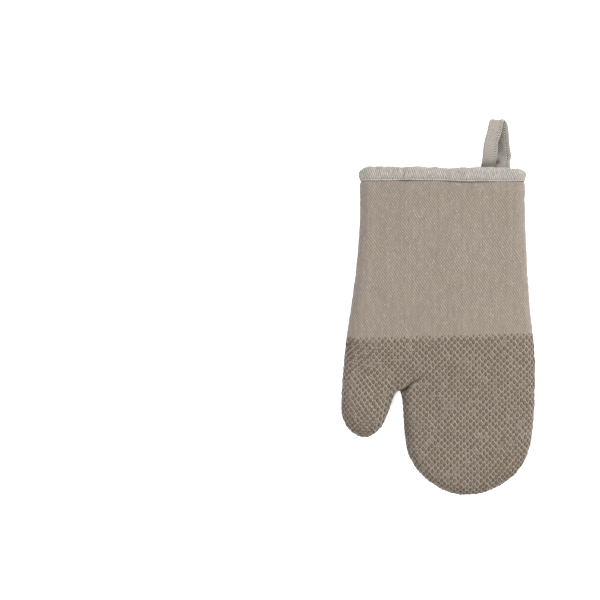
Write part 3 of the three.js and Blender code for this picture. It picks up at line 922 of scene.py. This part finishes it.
SEG = 14
DOME = [(1.0, -0.22), (0.985, 0.09), (0.91, 0.24), (0.76, 0.37), (0.54, 0.455), (0.28, 0.495)]
th = np.linspace(0, 2 * math.pi, SEG, endpoint=False)
ex = 1.7
cx = np.sign(np.cos(th)) * np.abs(np.cos(th)) ** (2 / ex)
cy = np.sign(np.sin(th)) * np.abs(np.sin(th)) ** (2 / ex)
_n = len(DOME) * SEG


def dots(name, which):
    V, F3, F4, FL, TN = [], [], [], [], []
    idx = np.where(which)[0]
    for k, i in enumerate(idx):
        r = np.random.default_rng(1000 + int(i))
        small = 0.62 if row_of[i] == 0 else 1.0
        sx = 1.44 * r.uniform(0.92, 1.06) * small
        sy = 1.98 * r.uniform(0.92, 1.06) * (0.55 if row_of[i] == 0 else 1.0)
        hh = r.uniform(0.9, 1.08) * (0.8 if row_of[i] == 0 else 1.0) * (0.40 + 0.60 * max(nz[i][2], 0.0))
        base = k * (_n + 2)
        TN.append(np.full(_n + 2, r.uniform(0, 1)))
        for f_, h_ in DOME:
            V.append(centre[i] + np.outer(cx * sx * f_, tx[i]) + np.outer(cy * sy * f_, ty[i]) + nz[i] * h_ * hh)
            FL.append(np.column_stack([lat[i, 0] + cx * sx * f_, lat[i, 1] + cy * sy * f_, np.full(SEG, h_)]))
        V.append((centre[i] + nz[i] * 0.505 * hh)[None])
        V.append((centre[i] - nz[i] * 0.22 * hh)[None])
        FL.append(np.array([[*lat[i], 0.505], [*lat[i], -0.22]]))
        a = np.arange(SEG)
        b = (a + 1) % SEG
        for q in range(len(DOME) - 1):
            F4.append(base + np.stack([q * SEG + a, q * SEG + b, (q + 1) * SEG + b, (q + 1) * SEG + a], 1))
        e = (len(DOME) - 1) * SEG
        F3.append(base + np.stack([e + a, e + b, np.full(SEG, _n)], 1))
        F3.append(base + np.stack([b, a, np.full(SEG, _n + 1)], 1))
    ob = new_mesh(name, np.vstack(V), [np.vstack(F4), np.vstack(F3)], np.vstack(FL), tone=np.concatenate(TN))
    finish_piece(ob, M_GRIP)
    return ob


thumb_poly = np.vstack([palm.line[palm.j1:palm.j2 + 1], RING_P[:, palm.j2, :2], RING_P[::-1, palm.j1, :2]])
is_thumb = inside(centre[:, :2], thumb_poly)
is_thumb = np.where(group == 2, False, is_thumb)
grip_hand = dots("grip_dots_hand", ~is_thumb)
grip_thumb = dots("grip_dots_thumb", is_thumb)
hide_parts("grip_print_gauntlet", "grip_print_fingers")
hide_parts("grip_print_thumb")
bend_fingers(grip_hand)
bend_thumb(grip_thumb)
print("dots", len(centre), int(is_thumb.sum()))


# ------------------------------------------------------------------ thread
def capsule_verts(a, b, up, r0, sink=0.0, seg=8, bow=0.0):
    """A stitch from a to b lying on a surface with normal up: a short bent bead of thread."""
    a, b, up = map(np.asarray, (a, b, up))
    d = b - a
    L = np.linalg.norm(d)
    d = d / L
    w = np.cross(up, d)
    w /= np.linalg.norm(w)
    u = np.cross(d, w)
    prof = [(-0.02, 0.25, -0.9), (0.03, 0.7, -0.55), (0.12, 0.97, -0.12), (0.3, 1.0, 0.0), (0.5, 1.0, 0.06), (0.7, 1.0, 0.0), (0.88, 0.97, -0.12), (0.97, 0.7, -0.55), (1.02, 0.25, -0.9)]
    t = np.linspace(0, 2 * math.pi, seg, endpoint=False)
    rings, fl = [], []
    for s_, rr, dz in prof:
        c = a + d * (s_ * L) + u * (dz * r0 * 1.1 + bow * math.sin(math.pi * min(max(s_, 0), 1)) - sink)
        rings.append(c + np.outer(np.cos(t) * rr * r0, w) + np.outer(np.sin(t) * rr * r0, u))
        fl.append(np.column_stack([np.full(seg, s_ * L), t * r0, np.zeros(seg)]))
    return np.vstack(rings), np.vstack(fl), len(prof)


def thread(name, stitches, material, seg=8):
    V, FL, F4, F3 = [], [], [], []
    base = 0
    for s_ in stitches:
        v, fl, k = capsule_verts(*s_, seg=seg)
        a = np.arange(seg)
        b = (a + 1) % seg
        for q in range(k - 1):
            F4.append(base + np.stack([q * seg + a, q * seg + b, (q + 1) * seg + b, (q + 1) * seg + a], 1))
        e = (k - 1) * seg
        for q in range(1, seg - 1):
            F3.append([[base, base + q + 1, base + q]])
            F3.append([[base + e, base + e + q, base + e + q + 1]])
        V.append(v)
        FL.append(fl)
        base += len(v)
    ob = new_mesh(name, np.vstack(V), [np.vstack(F4), np.vstack(F3)], np.vstack(FL))
    return finish_piece(ob, material)


# the closing seam shows as short bars of thread in the groove between palm and back
bars = {False: [], True: []}
pos = np.arange(14.0, palm.arc[-1] - 14.0, 3.1)
for s_ in pos:
    j = int(np.argmin(np.abs(palm.arc - s_)))
    c = np.append(palm.line[j] + palm.n_in[j] * (GROOVE - 0.12), SEAM_Z)
    out_n = np.append(-palm.n_in[j], 0)
    bars[palm.j1 <= j < palm.j2].append((c - [0, 0, 0.75], c + [0, 0, 0.75], out_n, 0.27))
seam_hand = thread("seam_bars_hand", bars[False], M_THREAD_DARK)
seam_thumb = thread("seam_bars_thumb", bars[True], M_THREAD_DARK)
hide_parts("seam_thread_gauntlet_1", "seam_thread_gauntlet_2", "seam_thread_gauntlet_3", "seam_thread_fingers")
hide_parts("seam_thread_thumb")
bend_fingers(seam_hand)
bend_thumb(seam_thumb)

# ------------------------------------------------------------------ cuff binding


def cuff_section(n_side=90):
    """The closed outline of the squeezed stack at the cuff, in (x, z), anticlockwise seen from +Y
    with the palm on top, starting at the thumb side's seam."""
    pts_ = []
    for side, up in (("palm", 1), ("back", -1)):
        sk = skins[side]
        # rings at the left end, the mouth row, rings at the right end
        P = sk.at_depth(0.0)
        left = P[np.arange(sk.K) * sk.N]
        right = P[np.arange(sk.K) * sk.N + sk.N - 1]
        row = np.where(sk.edge_row & (np.arange(len(P)) >= sk.K * sk.N))[0]
        row = P[row[np.argsort(P[row, 0])]]
        line = np.vstack([left[:, [0, 2]], row[:, [0, 2]], right[::-1][:, [0, 2]]])
        pts_.append(line if up == 1 else line[::-1])
    loop = np.vstack([pts_[0][1:-1], pts_[1][1:-1]])
    return loop


loop = cuff_section()
loop = np.vstack([loop, loop[:1]])
ls = arclength(loop)
RIM = ls[-1]
n_rim = 1100
want = np.linspace(0, RIM, n_rim, endpoint=False)
rim = at_length(loop, ls, want)
for _ in range(30):
    rim = (np.roll(rim, 1, 0) + 2 * rim + np.roll(rim, -1, 0)) / 4
tang = np.roll(rim, -1, 0) - np.roll(rim, 1, 0)
tang /= np.linalg.norm(tang, axis=1)[:, None]
nrm = np.stack([-tang[:, 1], tang[:, 0]], 1)
ctr = rim.mean(0)
if ((rim - ctr) * nrm).sum() < 0:
    nrm = -nrm
rim_x, rim_z = rim[:, 0], rim[:, 1]
corner = 1 - smooth(0.0, 9.0, np.minimum(rim_x - X0 + 1.1, X1 + 1.1 - rim_x))   # 1 at the side seams
aa = want
STACK = 4.9
PALM_TOP = np.array([[-66, 1.0], [-52, 1.3], [-41, 1.0], [-30, 0.45], [-22, 1.3], [-16, 1.1], [-8, 0.4], [0, 0.6], [5, -0.1],
                     [10, -0.75], [15, -0.3], [20, 0.1], [28, 0.0], [38, 0.35], [48, 0.2], [60, -0.2], [68, -0.5], [75, -0.7]])
BACK_TOP = np.array([[-66, 0.0], [-48, -0.3], [-31, -0.8], [-13, -1.6], [7, -1.1], [24, 0.4], [42, 1.3], [56, 0.7], [68, 0.0], [76, 0.0]])
PALM_LOW = np.array([[-66, 0.1], [-50, -0.1], [-38, 0.25], [-24, 0.5], [-12, 0.3], [4, 0.1], [14, -0.5], [30, -0.9], [44, -0.7], [60, -0.5], [74, -0.4]])
BACK_LOW = np.array([[-66, 0.2], [-40, 0.0], [-15, -0.4], [10, -0.3], [40, 0.3], [70, 0.0]])
on_top = rim_z > SEAM_Z
wave_top = np.where(on_top, np.interp(rim_x, *PALM_TOP.T), np.interp(rim_x, *BACK_TOP.T))
wave_low = np.where(on_top, np.interp(rim_x, *PALM_LOW.T), np.interp(rim_x, *BACK_LOW.T))


def soften(v, n):
    for _ in range(n):
        v = (np.roll(v, 1) + 2 * v + np.roll(v, -1)) / 4
    return v


wave_top, wave_low = soften(wave_top, 120), soften(wave_low, 120)
wave_top = wave_top + 0.16 * waves(aa, aa * 0, 14, 71, 5) + 0.10 * waves(aa, aa * 0, 6, 72, 5)
wave_low = wave_low + 0.10 * waves(aa, aa * 0, 22, 73, 5) + 0.06 * waves(aa, aa * 0, 8, 74, 5)
LIP_OPEN = np.array([[-66, 0.25], [-36, 0.35], [-31, 1.0], [-25, 1.05], [-20, 0.3], [-2, 0.3], [8, 0.5], [15, 1.35], [30, 1.5], [41, 1.35], [49, 0.5], [60, 0.3], [76, 0.3]])
lift = np.where(on_top, np.interp(rim_x, *LIP_OPEN.T), 0.45) + 0.12 * waves(aa, aa * 0, 34, 77, 5)
lift = np.clip(lift, 0.1, 1.55)
puff_var = 1 + 0.22 * waves(aa, aa * 0, 15, 75, 5)
STITCH = 2.6
pull = np.cos(2 * math.pi * aa / STITCH)      # +1 between stitches
gather = 0.07 * waves(aa, aa * 0, 5.0, 76, 6)

# profile of the tape's outer face: (y from the mouth's top, n from the stack's outer face), lower
# outer edge, over the fold, to the lower inner edge
prof_o = np.array([
    [-12.10, 0.45], [-12.25, 0.85], [-12.1, 1.18], [-11.85, 1.28], [-11.6, 1.22], [-11.35, 1.12], [-11.1, 1.06], [-10.8, 1.14],
    [-10.35, 1.38], [-9.2, 1.84], [-6.8, 1.95], [-5.2, 2.08], [-3.6, 1.98], [-2.2, 1.62], [-1.1, 0.95],
    [-0.35, -0.05], [0.0, -1.25], [0.08, -2.45], [0.0, -3.65], [-0.35, -4.85], [-1.1, -5.85], [-2.3, -6.5],
    [-3.8, -6.85], [-5.6, -6.95], [-7.4, -6.75], [-8.8, -6.4], [-9.9, -6.1], [-10.3, -6.05], [-10.8, -6.25],
    [-11.5, -6.35], [-12.2, -6.3], [-12.5, -6.1], [-12.55, -5.75]])
prof_i = np.array([
    [-12.5, -5.35], [-11.5, -5.3], [-9.5, -5.25], [-6.0, -5.3], [-3.4, -5.2], [-1.9, -4.6], [-1.2, -3.6], [-1.0, -2.45],
    [-1.2, -1.3], [-1.9, -0.4], [-3.2, 0.15], [-5.0, 0.18], [-7.5, 0.16], [-9.8, 0.14], [-10.7, 0.13], [-11.4, 0.16], [-12.0, 0.26]])
prof = np.vstack([prof_o, prof_i])
n_o = len(prof_o)
prof_len = np.concatenate([arclength(prof_o), arclength(prof_o)[-1] + 0.8 + arclength(prof_i)])
is_out = np.zeros(len(prof))
is_out[: n_o] = 1
V = np.zeros((n_rim, len(prof), 3))
# painted shade per vertex of the tape: under the lifted lip, along the overlap's edge, in the stitch row and at the
# needle holes
BINDING_PAINTED_SHADE = np.zeros((n_rim, len(prof)))
needle_hole_shade = np.exp(-((((aa / STITCH) + 0.5) % 1 - 0.5) * STITCH / 0.42) ** 2)
FLAT = np.zeros((n_rim, len(prof), 2))
for k, (py_, pn) in enumerate(prof):
    low = smooth(-6, -11, py_)
    high = smooth(-8, -1, py_)
    outer_face = 1.0 if (k < 17) else 0.0
    face = is_out[k]
    puff = np.exp(-((py_ + 5.5) / 3.4) ** 2) * face
    stitch_zone = np.exp(-((py_ + 11.1) / 0.7) ** 2) * face
    lip = np.exp(-((py_ + 12.0) / 0.5) ** 2) * face
    sgn = 1.0 if k < 17 else (-1.0 if k < n_o else 0.0)
    dn = sgn * (0.35 * puff * (puff_var - 1) * 2 + stitch_zone * 0.16 * (pull - 0.6) + lip * 0.10 * pull
                + gather * (0.5 + 0.5 * puff) * face)
    # the tape's corners are round: the fold drops and the sides bulge at the side seams
    yy = MOUTH_TOP + py_ + wave_top * high + (wave_low * low if face else wave_low * low) - 2.6 * corner ** 1.6 * high
    n_ = pn + dn + (0.55 * corner * (0.4 + puff) if k < 17 else 0.0)
    if k < 6:
        n_ = n_ + lift * (0.8 if k else 1.0)
    if k >= len(prof) - 2:
        n_ = n_ + lift * (0.85 if k == len(prof) - 1 else 0.45)
    # painted shadow under the tape's lower lip, darker where the lip stands off the cloth
    if k in (0, 1) or k == len(prof) - 1:
        BINDING_PAINTED_SHADE[:, k] += np.clip(lift - 0.2, 0, 1) * (0.75 if k != 1 else 0.6)
    if k < 17:    # the tape's ends overlap along a slanted line
        across_join = (rim_x + 30.5) - 0.42 * (py_ + 6.0)
        n_ = n_ + on_top * 0.42 * smooth(-0.25, 0.25, across_join) * smooth(14.0, 5.0, across_join)
        # painted shade: a dark line along the edge where one end of the tape overlaps the other
        BINDING_PAINTED_SHADE[:, k] += on_top * 0.35 * np.exp(-((across_join + 0.35) / 0.35) ** 2)
    # painted shade in the stitch row's groove, darkest at the needle holes, and at the needle holes just above the row
    if k in (6, 7):
        BINDING_PAINTED_SHADE[:, k] += 0.06 + 0.36 * needle_hole_shade
    if k == 8:
        BINDING_PAINTED_SHADE[:, k] += 0.22 * needle_hole_shade
    V[:, k, 0] = rim_x + nrm[:, 0] * n_
    V[:, k, 2] = rim_z + nrm[:, 1] * n_
    V[:, k, 1] = yy
    FLAT[:, k, 0] = aa
    FLAT[:, k, 1] = prof_len[k] * np.where(on_top, 1.0, 0.62)
V[..., 2] = np.where(V[..., 2] < 0.3, 0.3 + (V[..., 2] - 0.3) * 0.18, V[..., 2])
V[..., 2] = np.maximum(V[..., 2], 0.02)
m_ = len(prof)
i_, k_ = np.meshgrid(np.arange(n_rim), np.arange(m_), indexing="ij")
i2, k2 = (i_ + 1) % n_rim, (k_ + 1) % m_
quads = np.stack([i_ * m_ + k_, i_ * m_ + k2, i2 * m_ + k2, i2 * m_ + k_], -1).reshape(-1, 4)


def outward(verts, faces):
    """faces, turned over if the closed mesh they make is inside out."""
    a, b, c = verts[faces[:, 0]], verts[faces[:, 1]], verts[faces[:, 2]]
    vol = (a * np.cross(b, c)).sum()
    if faces.shape[1] == 4:
        d = verts[faces[:, 3]]
        vol += (a * np.cross(c, d)).sum()
    return faces if vol > 0 else faces[:, ::-1]


BV = V.reshape(-1, 3)
binding = new_mesh("cuff_tape", BV, [outward(BV, quads)], FLAT.reshape(-1, 2), tone=np.clip(BINDING_PAINTED_SHADE, 0, 1).reshape(-1))
finish_piece(binding, M_TAPE)
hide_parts("cuff_binding")
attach(binding, "gauntlet")

# topstitch: outer row on the tape just above its lower edge, and the same row inside
rows_ = []
k_st = 6
for face_k in (6, 27):
    for s_ in np.arange(0.0, RIM - STITCH, STITCH):
        f0, f1 = (s_ + 0.36) / RIM * n_rim, (s_ + STITCH - 0.36) / RIM * n_rim

        def pt(f):
            a0 = int(f) % n_rim
            b0 = (a0 + 1) % n_rim
            t = f - int(f)
            p0 = V[a0, face_k] * (1 - t) + V[b0, face_k] * t
            nn = nrm[a0] * (1 - t) + nrm[b0] * t
            nn = nn / np.linalg.norm(nn) * (1 if face_k == 6 else -1)
            return p0, np.array([nn[0], 0, nn[1]])
        (pa, na), (pb, nb) = pt(f0), pt(f1)
        up = na + nb
        up /= np.linalg.norm(up)
        if min(pa[2], pb[2]) < 0.55 and up[2] < -0.5:
            pa[2] = max(pa[2], 0.45)
            pb[2] = max(pb[2], 0.45)
        down = np.array([0, -0.18, 0])
        rows_.append((pa + up * 0.16 + down, pb + up * 0.16 + down, up, 0.33))
topstitch = thread("cuff_topstitch", rows_, M_THREAD)
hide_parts("binding_topstitch")
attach(topstitch, "gauntlet")

# ------------------------------------------------------------------ hanging loop
STRAP_W, STRAP_T = 13.2, 2.1
path = np.array([
    [46.2, 117.6, 8.6], [46.2, 121.0, 8.6], [46.2, 124.6, 9.2], [46.5, 128.0, 11.0], [47.0, 132.0, 13.0], [47.6, 137.0, 15.2], [48.1, 142.0, 16.6],
    [48.5, 147.0, 17.3], [49.1, 152.0, 17.7], [50.2, 156.0, 17.8], [51.6, 160.0, 17.7], [52.6, 164.6, 17.2], [53.3, 168.9, 15.6], [54.3, 171.5, 13.0],
    [56.0, 171.3, 10.4], [58.0, 168.2, 9.0], [59.2, 162.0, 7.9], [60.0, 155.5, 6.8], [60.6, 149.0, 5.6], [60.9, 143.0, 4.4], [60.7, 138.5, 3.7],
    [60.2, 135.3, 3.9], [60.0, 133.0, 5.6], [59.9, 131.0, 7.6], [59.9, 128.4, 8.5], [60.3, 124.8, 8.5], [60.4, 121.0, 8.5], [60.4, 117.6, 8.5]])
sp = catmull(path, 30)
ss = arclength(sp)
n_st = 420
wl = np.linspace(0, ss[-1], n_st)
c_ = at_length(sp, ss, wl)
tan_ = np.gradient(c_, axis=0)
tan_ /= np.linalg.norm(tan_, axis=1)[:, None]
STRAP_L = ss[-1]
mid_ = (wl / STRAP_L - 0.5)
# the strap twists a little: each leg turns its face
_tr = wl / STRAP_L
roll = np.radians(4.0) * smooth(0.14, 0.3, _tr) + np.radians(29.0) * smooth(0.50, 0.62, _tr) * (1 - smooth(0.74, 0.84, _tr)) - np.radians(4.0) * smooth(0.7, 0.86, _tr)
across = np.tile([1.0, 0, 0], (n_st, 1))
across = across - (across * tan_).sum(1)[:, None] * tan_
across /= np.linalg.norm(across, axis=1)[:, None]
face_ = np.cross(tan_, across)
ca, sa = np.cos(roll)[:, None], np.sin(roll)[:, None]
across, face_ = across * ca + face_ * sa, face_ * ca - across * sa
# section of a strap folded in four: soft faces, a round fold at one edge, a stitched double edge
half_w, half_t = STRAP_W / 2, STRAP_T / 2
uu = np.sort(np.concatenate([np.linspace(-1, 1, 21), np.arange(0.42, 0.79, 0.045), [0.95, 0.97, -0.97]]))
stitch_at = 1 - 2 * (2.0 + 1.2 * smooth(0.50, 0.60, _tr)) / STRAP_W
thick = half_t * np.minimum(1, np.sqrt(np.clip(1 - (np.abs(uu) ** 9), 0, 1)) + 0.0) * (1 + 0.08 * np.cos(uu * 3.2))
thick[0] = thick[-1] = 0.28 * half_t
top_s = np.stack([uu * half_w, thick], 1)
bot_s = np.stack([uu[::-1] * half_w, -thick[::-1]], 1)
sec = np.vstack([top_s, bot_s])
VS = np.zeros((n_st, len(sec), 3))
FS = np.zeros((n_st, len(sec), 2))
edge_w = 0.16 * waves(wl, wl * 0, 19, 81, 5)
flare = 1 + 0.06 * smooth(0.50, 0.60, _tr) + 0.05 * np.exp(-((wl - (STRAP_L - 15.0)) / 7.0) ** 2)
LOOP_STITCH = 2.3
pull2 = np.cos(2 * math.pi * wl / LOOP_STITCH)
loop_needle_hole_shade = np.exp(-((((wl / LOOP_STITCH) + 0.5) % 1 - 0.5) * LOOP_STITCH / 0.42) ** 2)
# painted shade per vertex of the strap: stitch groove, needle holes, the rear leg's inside and the front leg's base
STRAP_PAINTED_SHADE = np.zeros((n_st, len(sec)))
fold_at = wl[int(np.argmax(c_[:, 1]))]
near_fold = np.exp(-((wl - fold_at) / 6.0) ** 2)
for k, (sx_, sz_) in enumerate(sec):
    u_ = sx_ / half_w
    ripple = 0.05 * waves(wl, wl * 0 + u_ * 3, 9, 82, 5) + np.exp(-((u_ - stitch_at) / 0.085) ** 2) * (0.10 * (pull2 - 0.3) - 0.28) * np.sign(sz_)
    cup = 0.45 * (u_ ** 2 - 0.33) * np.sin(np.clip(wl / STRAP_L, 0, 1) * math.pi)
    VS[:, k] = c_ + across * (sx_ * flare + edge_w * u_)[:, None] + face_ * (sz_ + ripple - cup)[:, None]
    VS[:, k, 1] -= near_fold * (2.3 if u_ > 0 else 0.9) * abs(u_) ** 5
    # painted shade along the stitch line's groove, darkest at the needle holes
    STRAP_PAINTED_SHADE[:, k] = np.exp(-((u_ - stitch_at) * half_w / 0.62) ** 2) * (0.35 + 0.65 * loop_needle_hole_shade)
    rear = smooth(0.52, 0.58, _tr)
    # painted shade on the rear leg: its inside below the front leg, a dark spot in the valley near its base and a dark
    # line along the front leg's edge
    STRAP_PAINTED_SHADE[:, k] += (sz_ > 0) * rear * (0.16 * smooth(0.55, 0.2, u_) * smooth(131.5, 134.5, VS[:, k, 1]) + 0.80 * np.exp(-((VS[:, k, 1] - 133.4) / 2.9) ** 2) * np.exp(-((VS[:, k, 0] - 55.4) / 3.4) ** 2) + 0.55 * smooth(55.2, 53.8, VS[:, k, 0]) * smooth(136.0, 131.0, VS[:, k, 1]))
    # painted shade on the front leg's upper face near its base, above the binding
    STRAP_PAINTED_SHADE[:, k] += (sz_ < 0) * (1 - rear) * 0.36 * np.exp(-((VS[:, k, 1] - 129.5) / 5.0) ** 2) * smooth(124.0, 127.5, VS[:, k, 1])
    FS[:, k, 0] = u_ * half_w + (0 if sz_ >= 0 else 40)
    FS[:, k, 1] = wl
n_sec = len(sec)
i_, k_ = np.meshgrid(np.arange(n_st - 1), np.arange(n_sec), indexing="ij")
k2 = (k_ + 1) % n_sec
q4 = np.stack([i_ * n_sec + k_, i_ * n_sec + k2, (i_ + 1) * n_sec + k2, (i_ + 1) * n_sec + k_], -1).reshape(-1, 4)
SV = VS.reshape(-1, 3)
m2 = len(uu)
caps = []
for i in range(m2 - 1):
    a0, a1, b0, b1 = i, i + 1, n_sec - 1 - i, n_sec - 2 - i
    caps.append([a0, b0, b1, a1])
    e = (n_st - 1) * n_sec
    caps.append([e + a0, e + a1, e + b1, e + b0])
caps = np.array(caps)
allq = np.vstack([q4, caps])
vol = 0.0
a, b, c, d = (SV[allq[:, k]] for k in range(4))
vol = (a * np.cross(b, c)).sum() + (a * np.cross(c, d)).sum()
if vol < 0:
    allq = allq[:, ::-1]
strap = new_mesh("loop_strap", SV, [allq], FS.reshape(-1, 2), tone=np.clip(STRAP_PAINTED_SHADE, 0, 1).reshape(-1))
finish_piece(strap, M_STRAP)
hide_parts("hanging_loop", "loop_tail_1", "loop_tail_2")
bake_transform(strap)
print("sheet loop_strap", STRAP_W, round(STRAP_L, 1))

sts = []
s_pitch = LOOP_STITCH
for sgn in (1, -1):
    for s_ in np.arange(5 * s_pitch, STRAP_L - 11.5, s_pitch):
        def sp_at(s):
            c0 = np.array([np.interp(s, wl, c_[:, q]) for q in range(3)])
            ac = np.array([np.interp(s, wl, across[:, q]) for q in range(3)])
            fc = np.array([np.interp(s, wl, face_[:, q]) for q in range(3)])
            u_ = float(np.interp(s, wl, stitch_at))
            cup = 0.45 * (u_ ** 2 - 0.33) * math.sin(s / STRAP_L * math.pi)
            q0 = c0 + ac * (u_ * half_w) + fc * (sgn * (half_t - 0.26) - cup)
            q0[1] -= math.exp(-((s - fold_at) / 6.0) ** 2) * 2.3 * abs(u_) ** 5
            return q0, fc * sgn
        (pa, na), (pb, nb) = sp_at(s_ + 0.50), sp_at(s_ + s_pitch - 0.50)
        up = na + nb
        up /= np.linalg.norm(up)
        sts.append((pa + up * 0.10, pb + up * 0.10, up, 0.31))
loop_stitch = thread("loop_stitching", sts, M_THREAD)
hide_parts("loop_edge_stitch")
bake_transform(loop_stitch)

# ------------------------------------------------------------------ floor, light, camera
me = bpy.data.meshes.new("floor")
me.from_pydata([(-6, -6, 0), (6, -6, 0), (6, 6, 0), (-6, 6, 0)], [], [(0, 1, 2, 3)])
floor = bpy.data.objects.new("floor", me)
bpy.context.scene.collection.objects.link(floor)
fm, fnt, fb = mat("floor_white", 0.9, 0.1)
fb.inputs["Base Color"].default_value = (0.9, 0.9, 0.9, 1)
fb.inputs["Emission Color"].default_value = (1.0, 1.0, 1.0, 1)
fb.inputs["Emission Strength"].default_value = 0.55
me.materials.append(fm)

scene = bpy.context.scene
world = bpy.data.worlds.new("studio")
scene.world = world
world.use_nodes = True
bg = world.node_tree.nodes["Background"]
bg.inputs[0].default_value = (1.0, 1.0, 1.0, 1)
bg.inputs[1].default_value = 0.45


def area(name, loc, target, size, power, colour=(1, 1, 1)):
    light = bpy.data.lights.new(name, "AREA")
    light.shape = "RECTANGLE"
    light.size, light.size_y = size
    light.energy = power
    light.color = colour
    ob = bpy.data.objects.new(name, light)
    ob.location = loc
    ob.rotation_euler = (Vector(target) - Vector(loc)).to_track_quat("-Z", "Y").to_euler()
    scene.collection.objects.link(ob)
    return ob


area("key", (1.55, 1.25, 2.1), (0, 0, 0), (1.0, 1.0), 128, (1.0, 0.995, 0.985))
area("fill", (-0.9, -0.5, 2.4), (0, 0, 0), (1.8, 1.8), 60, (0.985, 0.99, 1.0))

cam_data = bpy.data.cameras.new("camera")
cam = bpy.data.objects.new("camera", cam_data)
scene.collection.objects.link(cam)
DIST = 3.0
MM_PER_PX = 0.9202
cx_mm, cy_mm = (300 - 437.6) * MM_PER_PX, (307.0 - 300) * MM_PER_PX
cam.location = (float(to_frame([cx_mm, cy_mm, 0])[0]), float(to_frame([cx_mm, cy_mm, 0])[1]), DIST + SEAM_Z / 1000)
cam.rotation_euler = (0, 0, 0)
cam_data.sensor_width = 36.0
cam_data.lens = 36.0 * DIST / (600 * MM_PER_PX / 1000)
cam_data.clip_start, cam_data.clip_end = 0.05, 50
scene.camera = cam
scene.view_settings.view_transform = "Standard"
